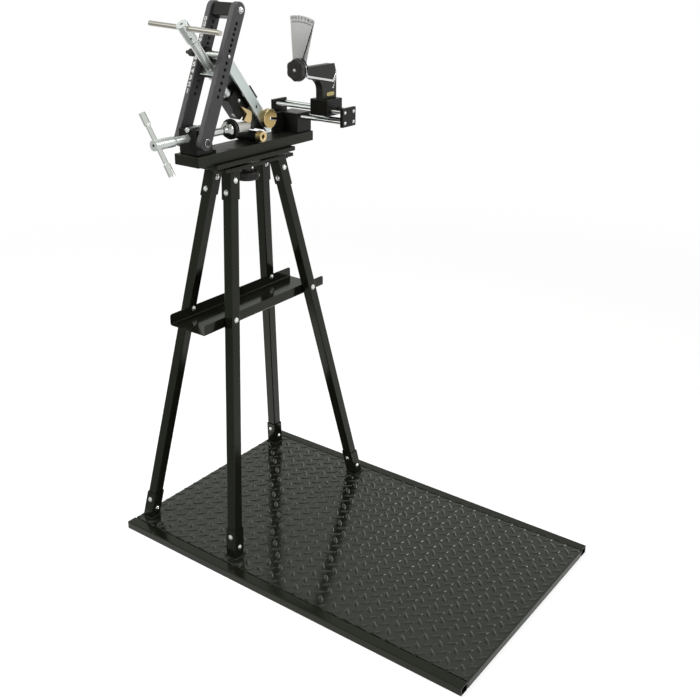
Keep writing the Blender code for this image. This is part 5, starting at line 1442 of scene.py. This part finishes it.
# A bright zinc strip on the slot's lower wall: a painted highlight for the light on that wall
highlight_low = HIGHLIGHT_GAP - half_slot
highlight_high, highlight_end = highlight_low + HIGHLIGHT_THICK, DISC_RADIUS + HIGHLIGHT_OUT
slot_highlight = rounded_plate([[(HIGHLIGHT_START, highlight_low), (highlight_end, highlight_low), (highlight_end, highlight_high),
                        (HIGHLIGHT_START, highlight_high)]], disc_thick - HIGHLIGHT_NARROWER, disc_place, 0.0003)
piece("disc_slot_liner", slot_highlight, "clamp", *PLATED)

# %% [markdown]
# Both clamp screws are turned bars with a hub and a two-start thread. The thread is a real ridge: a tree
# winds a spiral up the bar and sweeps a small diamond along it. The hub's end keeps the lathe's centre
# hole, and the bar ends in a thinner tail that turns in what it pushes.

# %% Parts of a clamp screw
THREAD_LEAD, THREAD_RIDGE, THREAD_DEPTH = 0.00508, 0.0005, 0.00028
THREAD_RUN = 0.001        # the slope at each end of the cut
RIDGE_INSET = 0.002       # the ridges stop this far inside the cut
CENTRE_HOLE, CENTRE_TIP, CENTRE_DEEP = 0.0036, 0.006, 0.004

thread_tree, inputs = shape_tree("screw_thread", [
    ("Turns", "Float"), ("Radius", "Float"), ("Length", "Float"), ("Ridge", "Float"),
    ("Finish", "Material")])
coil = add(thread_tree, "GeometryNodeCurveSpiral", {
    "Resolution": 28, "Rotations": inputs["Turns"], "Start Radius": inputs["Radius"],
    "End Radius": inputs["Radius"], "Height": inputs["Length"]})
diamond = add(thread_tree, "GeometryNodeCurvePrimitiveCircle", {"Resolution": 4, "Radius": inputs["Ridge"]})
swept = add(thread_tree, "GeometryNodeCurveToMesh", {
    "Curve": coil.outputs[0], "Profile Curve": diamond.outputs["Curve"], "Fill Caps": True})
end_tree(thread_tree, swept.outputs[0], inputs["Finish"])


def threaded(where, thread, radius):
    """Two ridges round a bar between two heights, standing out to its full radius."""
    start, length = thread[0] + RIDGE_INSET, thread[1] - thread[0] - 2 * RIDGE_INSET
    ridges = []
    for half_turn in (0, 180):
        ridge = grown(thread_tree, {"Turns": length / THREAD_LEAD, "Radius": radius - THREAD_RIDGE,
                                    "Length": length, "Ridge": THREAD_RIDGE, "Finish": screw_zinc})
        ridge.transform(where @ at(0, 0, start) @ turn_about("Z", half_turn))
        ridges.append(ridge)
    return ridges


def screw_bar(where, hub, hub_end, radius, thread, tail_radius, tail):
    """A screw from its hub's end down: centre hole, hub, bar with a threaded length, and tail.

    hub: points from the hub's end to the bar. tail: the heights between which the bar is thinner.
    """
    core = radius - THREAD_DEPTH
    return turned([(0, hub_end - CENTRE_TIP), (CENTRE_HOLE, hub_end - CENTRE_DEEP), (CENTRE_HOLE, hub_end),
                   *hub, (radius, thread[1]), (core, thread[1] - THREAD_RUN), (core, thread[0] + THREAD_RUN),
                   (radius, thread[0]), (radius, tail[0]), (tail_radius, tail[0]), (tail_radius, tail[1]),
                   (0, tail[1])], where, ease=0.0014)


def hole_floor(where, end):
    """A dark disc in a centre hole in a hub's end: painted shade for the hole's depth."""
    return round_bar(CENTRE_HOLE * 0.97, end - 0.0006, end - 0.003, where, 32, 0.0002)


print("thread lead", THREAD_LEAD)

# %% [markdown]
# The hold-down screw stands in the nut plate. A set screw in its hub holds the long cross handle, which is
# bare turned steel and a little warmer than the plated bar.

# %% Hold-down screw
TOP_RADIUS, TOP_HUB = 0.0125, 0.016
TOP_HUB_LOW, TOP_HUB_END = 0.0829, 0.1389
TOP_THREAD = (-0.0525, -0.0139)      # the bar is plain above and below its thread
TOP_TAIL, TOP_TAIL_RADIUS = (-0.1101, -0.1211), 0.008
SET_SCREW = (0.0112, -0.0078, TOP_HUB_LOW + 0.0146)
SET_SCREW_FACING, SET_SCREW_RADIUS = (0.82, -0.57, 0), 0.0030
TOP_BAR_RADIUS, TOP_BAR_HALF, TOP_BAR_TURN, TOP_BAR_DOWN = 0.007, 0.1315, -2.7, 0.014
BAR_END_EASE = 0.0012

hub = [(TOP_HUB, TOP_HUB_END), (TOP_HUB, TOP_HUB_LOW), (TOP_RADIUS, TOP_HUB_LOW - 0.003)]
bar = screw_bar(JAW_SCREW, hub, TOP_HUB_END, TOP_RADIUS, TOP_THREAD, TOP_TAIL_RADIUS, TOP_TAIL)
set_screw = heads_on([(JAW_SCREW @ Vector(SET_SCREW), JAW_SCREW.to_3x3() @ Vector(SET_SCREW_FACING))],
                     cap_head, SET_SCREW_RADIUS, machine_black)
shapes = [(bar, 0), (set_screw, 1), (hole_floor(JAW_SCREW, TOP_HUB_END), 2)]
shapes += threaded(JAW_SCREW, TOP_THREAD, TOP_RADIUS)
piece("hold_down_screw_bar", joined(*shapes), "hold_down_screw", "bright_steel",
      [screw_zinc, machine_black, bore_painted_shade], "top_screw")

handle = JAW_SCREW @ at(0, 0, TOP_HUB_END - TOP_BAR_DOWN) @ turn_about("Z", TOP_BAR_TURN)
bar = round_bar(TOP_BAR_RADIUS, -TOP_BAR_HALF, TOP_BAR_HALF, handle @ ALONG_X, 48, BAR_END_EASE)
piece("hold_down_handle", bar, "hold_down_screw", "bright_steel", warm_steel, "top_t_bar")

# %% [markdown]
# The pad screw goes through the screw block, with its thread hidden inside. Its hub tapers a little, and
# its cross handle carries a thicker sleeve at each end.

# %% Pad screw
SIDE = at(SIDE_AXIS.x, BLOCK_FACE, SIDE_AXIS.z) @ turn_about("X", 90)
SIDE_RADIUS, SIDE_HUB, SIDE_HUB_SMALL = 0.0105, 0.0145, 0.93
SIDE_HUB_LOW, SIDE_HUB_END = 0.051, 0.123
SIDE_THREAD = (-0.056, -0.004)       # inside the block
SIDE_TAIL, SIDE_TAIL_RADIUS = (-0.1282, -0.1385), 0.007
SIDE_BAR, SIDE_BAR_HALF, SIDE_BAR_TURN, SIDE_BAR_DOWN = 0.0068, 0.090, 122.8, 0.013
SLEEVE, SLEEVE_LONG, SLEEVE_SLOPE = 0.0095, 0.034, 0.002

hub = [(SIDE_HUB, SIDE_HUB_END), (SIDE_HUB, SIDE_HUB_LOW + 0.012), (SIDE_HUB * SIDE_HUB_SMALL, SIDE_HUB_LOW),
       (SIDE_RADIUS, SIDE_HUB_LOW - 0.002)]
bar = screw_bar(SIDE, hub, SIDE_HUB_END, SIDE_RADIUS, SIDE_THREAD, SIDE_TAIL_RADIUS, SIDE_TAIL)
shapes = [(bar, 0), (hole_floor(SIDE, SIDE_HUB_END), 1), *threaded(SIDE, SIDE_THREAD, SIDE_RADIUS)]
piece("pad_screw_bar", joined(*shapes), "pad_screw", "zinc_plate", [screw_zinc, bore_painted_shade], "side_screw")

step = SIDE_BAR_HALF - SLEEVE_LONG
handle = SIDE @ at(0, 0, SIDE_HUB_END - SIDE_BAR_DOWN) @ turn_about("Z", SIDE_BAR_TURN)
bar = turned([(0, SIDE_BAR_HALF), (SLEEVE, SIDE_BAR_HALF), (SLEEVE, step), (SIDE_BAR, step - SLEEVE_SLOPE),
              (SIDE_BAR, SLEEVE_SLOPE - step), (SLEEVE, -step), (SLEEVE, -SIDE_BAR_HALF),
              (0, -SIDE_BAR_HALF)], handle @ ALONG_X, 48, BAR_END_EASE)
piece("pad_screw_handle", bar, "pad_screw", "zinc_plate", bright_bar, "side_t_bar")

# %% [markdown]
# The hold-down jaw is a black holder with a brass V-jaw on its near face. Brass is softer than a steel
# club, so it grips without marking. Small bright screws hold the brass.

# %% Hold-down jaw
HOLDER_TOP, HOLDER_LONG, HOLDER_SPAN = -0.1154, 0.074, (-0.018, 0.0267)
HOLDER_BORE, HOLDER_DEEP = 0.0083, 0.0126
# Across the screw and along it, from the screw's axis and the cross pin
JAW_OUTLINE = ((0.0016, -0.1550), (0.0062, -0.1885), (-0.0150, -0.1932), (-0.0011, -0.2185),
               (0.0107, -0.2132), (0.0220, -0.2024), (0.0220, -0.1924))
JAW_EDGE = 0.0006
NEAR_SCREW, FRONT_SCREW, JAW_SCREW_HEAD = (0.0154, -0.1461), (0.0, HOLDER_SPAN[0], -0.1714), 0.0045

low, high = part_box("jaw_holder")
near_face = high.x - PIN_PLACE.x
holder = soft_block((low.x - PIN_PLACE.x, HOLDER_SPAN[0], HOLDER_TOP - HOLDER_LONG),
                    (near_face, HOLDER_SPAN[1], HOLDER_TOP), FLAT_EASE, JAW_SCREW)
holder = drilled(holder, [(JAW_SCREW @ at(0, 0, HOLDER_TOP), HOLDER_BORE, HOLDER_DEEP)])
piece("jaw_holder_stock", holder, "hold_down_jaw", *BLACKED, "jaw_holder")

low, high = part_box("brass_v_jaw")
jaw = plate_across_x([JAW_OUTLINE], low.x, high.x, JAW_SCREW, JAW_EDGE)
piece("brass_jaw_milled", jaw, "hold_down_jaw", "brass", brass, "brass_v_jaw")

jaw_screws = [(JAW_SCREW @ Vector((near_face, *NEAR_SCREW)), (1, 0, 0)),
              (JAW_SCREW @ Vector(FRONT_SCREW), JAW_SCREW.to_3x3() @ Vector((0, -1, 0)))]
piece("jaw_holder_screws", heads_on(jaw_screws, button_head, JAW_SCREW_HEAD, turned_zinc), "hold_down_jaw",
      *PLATED)

# %% [markdown]
# The side pad pushes the club against the vise. It is a satin-plated cup, a rubber ring, a bronze washer
# and a pale tapered nose, all turned, so each is one profile along the pad screw's axis.

# %% Side pad
CUP_BACK, CUP_FRONT, CUP_RADIUS = -0.1335, -0.160, 0.0222
CUP_STEPS = ((0.0105, 0.0), (0.012, 0.002), (0.012, 0.005), (0.0135, 0.0055), (0.0135, 0.009),
             (0.0175, 0.0115), (0.0205, 0.0155), (CUP_RADIUS, 0.0205))     # radius, and how far forward
RING_RADIUS, RING_THICK, RING_ROUND = 0.0285, 0.015, 0.004
WASHER_RADIUS, WASHER_THICK = 0.0195, 0.007
PAD_GAP = 0.0003          # a hair between one piece and the next
NOSE_BACK, NOSE_MIDDLE, NOSE_TIP = 0.0155, 0.0150, 0.0122
NOSE_STRAIGHT, NOSE_LONG, NOSE_ROUND = 0.020, 0.057, 0.003

cup = turned([(0, CUP_BACK), *[(radius, CUP_BACK - forward) for radius, forward in CUP_STEPS],
              (CUP_RADIUS, CUP_FRONT), (0, CUP_FRONT)], SIDE, ease=0.0016)
piece("pad_cup_chromed", cup, "pad", "chrome", cup_plate, "pad_cup")

ring_back = CUP_FRONT - PAD_GAP
ring_front = ring_back - RING_THICK
ring = round_bar(RING_RADIUS, ring_back, ring_front, SIDE, ease=RING_ROUND)
piece("pad_ring_moulded", ring, "pad", "rubber", pad_rubber, "pad_ring")

washer_back = ring_front - PAD_GAP
washer_front = washer_back - WASHER_THICK
nose_end = washer_front - NOSE_LONG
washer = round_bar(WASHER_RADIUS, washer_back, washer_front, SIDE)
nose = turned([(0, washer_front), (NOSE_BACK, washer_front), (NOSE_MIDDLE, washer_front - NOSE_STRAIGHT),
               (NOSE_TIP, nose_end), (0, nose_end)], SIDE, ease=NOSE_ROUND)
piece("pad_nose_turned", joined((nose, 0), (washer, 1)), "pad", "chrome", [nose_grey, bronze], "pad_nose")

# %% [markdown]
# The vise is a round black body across the bar with a flat on top, and a brass bush in its near end. The
# bush stands out past the body, and a dark plug deep in its bore is painted shade for the bore's depth.

# %% Vise
BUSH_BORE, BUSH_OUT, BUSH_SHANK, BUSH_COLLAR = 0.006, 0.0085, 0.0075, 0.009
SHADE_PLUG_IN, SHADE_PLUG_DEEP = 0.010, 0.012

low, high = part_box("vise_body")
vise_radius = (high.y - low.y) / 2
vise_y, vise_z = (low.y + high.y) / 2, low.z + vise_radius
vise_frame = at(0, vise_y, vise_z)
flat = math.degrees(math.asin((high.z - vise_z) / vise_radius))
vise_outline = arc((0, 0), vise_radius, 180 - flat, 360 + flat, 56)
body = plate_across_x([vise_outline], low.x, high.x, vise_frame, 0.001)
piece("vise_body_turned", body, "machine", *BLACKED, "vise_body")

low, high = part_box("brass_bush")
bush_radius, bush_end = (high.z - low.z) / 2, high.x + BUSH_OUT
# From the bore's bottom out over the end, and back along the outside to the hidden shank
bush = turned([(BUSH_BORE - 0.0005, bush_end - SHADE_PLUG_DEEP), (BUSH_BORE, bush_end - 0.0015),
               (BUSH_BORE + 0.0012, bush_end), (bush_radius - 0.0018, bush_end),
               (bush_radius - 0.0006, high.x - 0.002), (bush_radius, high.x - 0.003),
               (bush_radius, high.x - BUSH_COLLAR), (BUSH_SHANK, high.x - BUSH_COLLAR),
               (BUSH_SHANK, low.x), (0, low.x)], vise_frame @ ALONG_X, ease=0.0010)
# A dark disc deep in the bore: painted shade
bore_shade_plug = round_bar(BUSH_BORE, bush_end - SHADE_PLUG_IN, bush_end - SHADE_PLUG_DEEP, vise_frame @ ALONG_X, ease=0.0002)
piece("brass_bush_turned", joined((bush, 0), (bore_shade_plug, 1)), "machine", "brass", [brass, bore_painted_shade], "brass_bush")

# %% [markdown]
# The gauge rides on four ground rods between two end plates. The carriage slides on the upper pair and its
# bores are bushed, so thin black rings stand round the rods. Socket screws hold the rods to the plates.

# %% Gauge rods and carriage
ROD_PLATE_EASE, CARRIAGE_EASE = 0.0012, 0.002
ROD_SCREW_RADIUS = 0.0042
BUSHING_RADIUS, BUSHING_IN, BUSHING_OUT = 0.0085, 0.004, 0.0012

for node, (low, high) in rods.items():
    middle = rod_middle[node]
    rod = round_bar((high.z - low.z) / 2, low.x, high.x, at(0, middle.y, middle.z) @ ALONG_X, 40, 0.0008)
    piece(node + "_ground", rod, "rod_frame", "zinc_plate", ground_steel, node)

screw_points = []
for node, way in (("near_rod_plate", 1), ("far_rod_plate", -1)):
    low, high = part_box(node)
    plate = soft_block(low, high, ROD_PLATE_EASE)
    piece(node + "_stock", plate, "rod_frame", *BLACKED, node)
    face = high.x if way > 0 else low.x
    screw_points += [((face, middle.y, middle.z), (way, 0, 0)) for middle in rod_middle.values()]
piece("rod_plate_screws", heads_on(screw_points, button_head, ROD_SCREW_RADIUS, turned_zinc), "rod_frame",
      *PLATED)

low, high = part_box("gauge_carriage")
upper = [rod_middle["upper_inner_rod"], rod_middle["upper_outer_rod"]]
carriage = drilled(soft_block(low, high, CARRIAGE_EASE),
                   [(at((low.x + high.x) / 2, spot.y, spot.z) @ ALONG_X, ROD_RADIUS, THROUGH)
                    for spot in upper])
piece("gauge_carriage_stock", carriage, "carriage", *BLACKED, "gauge_carriage")
bushes = []
for spot in upper:
    for face, way in ((high.x, 1), (low.x, -1)):
        out = at(face, spot.y, spot.z) @ turn_about("Y", 90 * way)
        bushes.append(round_tube(ROD_RADIUS, BUSHING_RADIUS, -BUSHING_IN, BUSHING_OUT, out, 40, 0.0004))
piece("carriage_bushes", joined(*bushes), "carriage", *BLACKED)

# %% [markdown]
# The post stands on the carriage and reaches over to the dial. Its foot sweeps into its arm in a large
# fillet, its top corner is cut off, and a small gold plate on its near face is left bare.

# %% Gauge post
POST_WIDE, POST_ARM, POST_FILLET, POST_TAPER = 0.066, 0.026, 0.035, 0.0117
POST_CUT = (0.015, 0.025)            # the top corner is cut off
TILT_BORE = 0.0063
TAG_ENDS, TAG_HEIGHT, TAG_ROUND = (0.210, 0.2455), 1.3165, 0.0055
TAG_THICK, TAG_PROUD, TAG_EDGE = 0.0008, 0.0003, 0.0002
TILT = Vector(joint_place["gauge_tilt"])

low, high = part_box("gauge_post")
POST_FACE = high.x
post_foot, arm_under = high.y - POST_WIDE, high.z - POST_ARM
arm_end = (TILT.y, high.z - POST_ARM / 2)
post_outline = [(post_foot, low.z), (high.y, low.z), (high.y, high.z - POST_CUT[1]),
                (high.y - POST_CUT[0], high.z)]
post_outline += arc(arm_end, POST_ARM / 2, 90, 270, 24)
post_outline += arc((post_foot - POST_FILLET, arm_under - POST_TAPER - POST_FILLET), POST_FILLET, 90, 0, 14)
post = plate_across_x([post_outline, ring_of(arm_end, TILT_BORE)], low.x, high.x)
piece("gauge_post_stock", post, "carriage", "blacked_steel", gauge_black, "gauge_post")

tag_outline = arc((TAG_ENDS[0] + TAG_ROUND, TAG_HEIGHT), TAG_ROUND, 90, 270, 10)
tag_outline += arc((TAG_ENDS[1] - TAG_ROUND, TAG_HEIGHT), TAG_ROUND, -90, 90, 10)
tag = rounded_plate([tag_outline], TAG_THICK, facing_x(Matrix(), POST_FACE + TAG_PROUD), TAG_EDGE)
piece("blank_post_plate", tag, "carriage", "brass", tag_gold)

# %% [markdown]
# The post carries a white angle scale for the tilting arm, and the dial has a finer one. The marks of both
# are bars set along an arc by one tree, each fifth one longer.

# %% Scale marks
FIFTH, LONGER = 5.0, 0.7
MARK_RELIEF = 0.0003
TILT_MARKS, TILT_SCALE_RADIUS, TILT_SCALE = 7, 0.1180, (-27, 21)        # start and sweep in degrees
TILT_MARK_LONG, TILT_MARK_WIDE = 0.0040, 0.0042

mark_tree, inputs = shape_tree("scale_marks", [
    ("Marks", "Int"), ("Radius", "Float"), ("Start", "Float"), ("Sweep", "Float"), ("Mark Length", "Float"),
    ("Mark Width", "Float"), ("Relief", "Float"), ("Finish", "Material")])
curve = add(mark_tree, "GeometryNodeCurveArc", {
    "Resolution": inputs["Marks"], "Radius": inputs["Radius"], "Start Angle": inputs["Start"],
    "Sweep Angle": inputs["Sweep"]})
points = add(mark_tree, "GeometryNodeCurveToPoints", {
    "Curve": curve.outputs["Curve"], "Count": inputs["Marks"]})
mark_size = add(mark_tree, "ShaderNodeCombineXYZ", {
    "X": inputs["Mark Length"], "Y": inputs["Mark Width"], "Z": inputs["Relief"]})
mark = add(mark_tree, "GeometryNodeMeshCube", {"Size": mark_size.outputs[0]})
outward = add(mark_tree, "FunctionNodeAlignRotationToVector",
              {"Vector": add(mark_tree, "GeometryNodeInputPosition").outputs[0]}, axis="X")
fifth = maths(mark_tree, "MODULO", add(mark_tree, "GeometryNodeInputIndex").outputs[0], FIFTH)
stretch = maths(mark_tree, "MULTIPLY_ADD", maths(mark_tree, "LESS_THAN", fifth, 0.5), LONGER, 1.0)
mark_scale = add(mark_tree, "ShaderNodeCombineXYZ", {"X": stretch, "Y": 1.0, "Z": 1.0})
marks = on_points(mark_tree, points.outputs["Points"], mark.outputs["Mesh"], Rotation=outward.outputs[0],
                  Scale=mark_scale.outputs[0])
end_tree(mark_tree, marks, inputs["Finish"])


def scale_marks(count, radius, start, sweep, length, width, finish, where):
    """Marks along an arc in the XY plane of a place; angles in degrees."""
    made = grown(mark_tree, {"Marks": count, "Radius": radius, "Start": math.radians(start),
                             "Sweep": math.radians(sweep), "Mark Length": length, "Mark Width": width,
                             "Relief": MARK_RELIEF, "Finish": finish})
    made.transform(where)
    return made


tilt_frame = at(0, TILT.y, TILT.z)
tilt_marks = scale_marks(TILT_MARKS, TILT_SCALE_RADIUS, *TILT_SCALE, TILT_MARK_LONG, TILT_MARK_WIDE,
                         mark_white, facing_x(tilt_frame, POST_FACE))
piece("tilt_scale_marks", tilt_marks, "carriage", "grey_arm_finish", mark_white)

# %% [markdown]
# The tilting arm is a wedge plate on the post's pivot. A bent strip of bright steel runs under it as the
# pointer and up its end behind the dial, and a flange carries the dial's stud.

# %% Tilting arm and pointer
ARM_THICK, TAIL, TAIL_DROP, ARM_TOP = 0.0077, -0.0235, -0.006, 0.0154
HEEL, TOE, WEDGE_TOP = Vector((0.0935, -0.0295)), Vector((0.1097, -0.0081)), 0.1014
FLANGE_INSET, FLANGE_EASE = 0.0015, 0.0008
TILT_PIN, TILT_PIN_IN, TILT_PIN_SHORT = 0.006, 0.0155, 0.004
DIAL_STUD = 0.0037
STRIP, STRIP_GAP, STRIP_TOE, STRIP_EDGE = 0.0065, 0.0006, 0.35, 0.0008
END_STRIP_WIDE, END_STRIP_EASE = 0.0110, 0.0004
DIAL = Vector(joint_place["needle_swing"])

low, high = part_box("gauge_arm")
arm_out = high.x
tail_y, drop_z, top_z = TILT.y + TAIL, TILT.z + TAIL_DROP, TILT.z + ARM_TOP
flange_back = tail_y + 0.004
wedge = plate_across_x([[(TAIL, TAIL_DROP), HEEL, TOE, (WEDGE_TOP, ARM_TOP), (TAIL, ARM_TOP)]],
                       arm_out - ARM_THICK, arm_out, tilt_frame)
flange = soft_block((low.x, tail_y - 0.001, drop_z),
                    (arm_out - FLANGE_INSET, flange_back, top_z - FLANGE_INSET), FLANGE_EASE)
tilt_pin = round_bar(TILT_PIN, low.x + TILT_PIN_IN, arm_out - TILT_PIN_SHORT, tilt_frame @ ALONG_X, 40)
dial_stud = round_bar(DIAL_STUD, low.y, flange_back, at(DIAL.x, 0, DIAL.z) @ ALONG_Y, 32)
piece("tilting_arm_stock", joined(wedge, flange, tilt_pin, dial_stud), "tilting_arm", "blacked_steel",
      gauge_black, "gauge_arm")

slant = (TOE - HEEL).normalized()
away = Vector((slant.y, -slant.x))
pointer_outline = [(TAIL, TAIL_DROP - STRIP_GAP), (TAIL, TAIL_DROP - STRIP_GAP - STRIP),
                   (HEEL.x + 0.004, HEEL.y - STRIP_GAP - STRIP), TOE + away * (STRIP_GAP + STRIP * STRIP_TOE),
                   TOE + away * STRIP_GAP, (HEEL.x + STRIP_GAP, HEEL.y - STRIP_GAP)]
pointer = plate_across_x([pointer_outline], arm_out - ARM_THICK, arm_out, tilt_frame, STRIP_EDGE)
end_strip = soft_block((arm_out - END_STRIP_WIDE, tail_y - 0.0022, drop_z - STRIP),
                       (arm_out, tail_y - 0.0002, top_z - 0.001), END_STRIP_EASE)
piece("pointer_strip", joined(pointer, end_strip), "tilting_arm", "bright_steel", turned_zinc,
      "gauge_pointer")

# %% [markdown]
# The dial is a frosted fan with fine degree marks and small numbers along its top. Its outline is an arc
# at the rim, straight sides and a round root, drawn upright and then tilted a little as a whole.

# %% Dial fan
FAN_TILT, FAN_EDGE, DIAL_BORE = 5.5, 0.0006, 0.0040
FAN_RADIUS, FAN_TOP_HALF = 0.1447, 0.0425
FAN_ROOT, FAN_ROOT_HALF, FAN_HUB = 0.030, 0.0248, 0.020
FAN_TICKS_IN, FAN_NUMBERS_IN = 0.0165, 0.0068        # below the fan's rim
FAN_TICKS, FAN_TICK_LONG, FAN_TICK_WIDE, FAN_TICKS_INSET = 31, 0.0034, 0.0010, 2.0
FAN_NUMBERS, FAN_NUMBER_SIZE, FAN_NUMBER_BOLD, FAN_NUMBERS_INSET = 7, 0.0085, 0.00035, 3.0
FAN = at(DIAL.x, 0, DIAL.z) @ turn_about("Y", FAN_TILT)

low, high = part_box("gauge_fan")
fan_half = math.degrees(math.asin(FAN_TOP_HALF / FAN_RADIUS))
fan_outline = arc((0, 0), FAN_RADIUS, 90 - fan_half, 90 + fan_half, 40) + [(-FAN_ROOT_HALF, FAN_ROOT)]
fan_outline += arc((0, 0), FAN_HUB, 180, 360, 24) + [(FAN_ROOT_HALF, FAN_ROOT)]
fan = rounded_plate([fan_outline, ring_of((0, 0), DIAL_BORE)], high.y - low.y,
                    at(0, (low.y + high.y) / 2, 0) @ FAN @ PLATE_FACING_Y, FAN_EDGE)
piece("fan_scale_plate", fan, "tilting_arm", "grey_dial", dial_grey, "gauge_fan")

fan_face = at(0, low.y, 0) @ FAN @ PLATE_FACING_Y
fan_marks = scale_marks(FAN_TICKS, FAN_RADIUS - FAN_TICKS_IN, 90 + fan_half - FAN_TICKS_INSET,
                        2 * FAN_TICKS_INSET - 2 * fan_half, FAN_TICK_LONG, FAN_TICK_WIDE, dial_mark, fan_face)
fan_numbers = []
for count in range(FAN_NUMBERS):
    lean = (fan_half - FAN_NUMBERS_INSET) * (1 - count / 3)
    spot = turn_about("Z", lean) @ at(0, FAN_RADIUS - FAN_NUMBERS_IN, 0)
    fan_numbers.append(numeral(str(abs(15 - 5 * count)), FAN_NUMBER_SIZE, fan_face @ spot, FAN_NUMBER_BOLD))
piece("fan_scale_marks", joined(fan_marks, *fan_numbers), "tilting_arm", "grey_dial", dial_mark)

# %% [markdown]
# A dark needle swings over the fan. Its hub is an off-centre disc that shows beside the knob. The knob in
# front is a lobed plate with well rounded rims on a bright washer, and it locks the needle.

# %% Needle and knob
NEEDLE_TURN, NEEDLE_EDGE = 22.0, 0.0003
NEEDLE_HUB, NEEDLE_TIP, NEEDLE_SIDE = 0.0275, 0.138, 0.0033
HUB_PLACE, HUB_OPEN = (0.0040, 0.0062), 3.0
BLADE_FOOT, BLADE_TIP = 0.0009, 0.0006          # half the blade's width
KNOB_LOBES, LOBE_DEPTH, LOBE_STEPS, DIAL_KNOB = 6, 0.0016, 14, 0.0290
KNOB_ROUND, KNOB_ROUND_STEPS = 0.003, 4
DIAL_WASHER, DIAL_WASHER_THICK = 0.0322, 0.0022
DIAL_SCREW, DIAL_SCREW_IN = 0.0042, 0.0004

low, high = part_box("loft_needle")
needle_place = at(DIAL.x, (low.y + high.y) / 2, DIAL.z) @ turn_about("Y", NEEDLE_TURN)
blade_turn = math.degrees(math.acos((NEEDLE_SIDE - HUB_PLACE[0]) / NEEDLE_HUB))
blade_foot = HUB_PLACE[1] + NEEDLE_HUB + 0.003
needle_outline = arc(HUB_PLACE, NEEDLE_HUB, blade_turn + HUB_OPEN, blade_turn + 360 - HUB_OPEN, 60)
needle_outline += [(NEEDLE_SIDE + BLADE_FOOT, blade_foot), (NEEDLE_SIDE + BLADE_TIP, NEEDLE_TIP),
                   (NEEDLE_SIDE - BLADE_TIP, NEEDLE_TIP), (NEEDLE_SIDE - BLADE_FOOT, blade_foot)]
needle = rounded_plate([needle_outline, ring_of((0, 0), DIAL_BORE)], high.y - low.y,
                       needle_place @ PLATE_FACING_Y, NEEDLE_EDGE)
piece("needle_blade", needle, "needle", *BLACKED, "loft_needle")

low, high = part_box("dial_knob")
lobes = []
for count in range(KNOB_LOBES * LOBE_STEPS):
    angle = 2 * math.pi * count / (KNOB_LOBES * LOBE_STEPS)
    radius = DIAL_KNOB - LOBE_DEPTH * math.cos(KNOB_LOBES * angle)
    lobes.append((radius * math.cos(angle), radius * math.sin(angle)))
back = high.y - DIAL_WASHER_THICK
knob = rounded_plate([lobes], back - low.y, at(DIAL.x, (low.y + back) / 2, DIAL.z) @ PLATE_FACING_Y,
                     KNOB_ROUND, steps=KNOB_ROUND_STEPS)
washer = round_bar(DIAL_WASHER, back, high.y, at(DIAL.x, 0, DIAL.z) @ ALONG_Y, ease=0.0005)
centre = heads_on([((DIAL.x, low.y + DIAL_SCREW_IN, DIAL.z), (0, -1, 0))], button_head, DIAL_SCREW,
                  turned_zinc)
piece("dial_lock_knob", joined((knob, 0), (washer, 1), (centre, 1)), "dial_lock", "black_plastic",
      [knob_plastic, turned_zinc], "dial_knob")
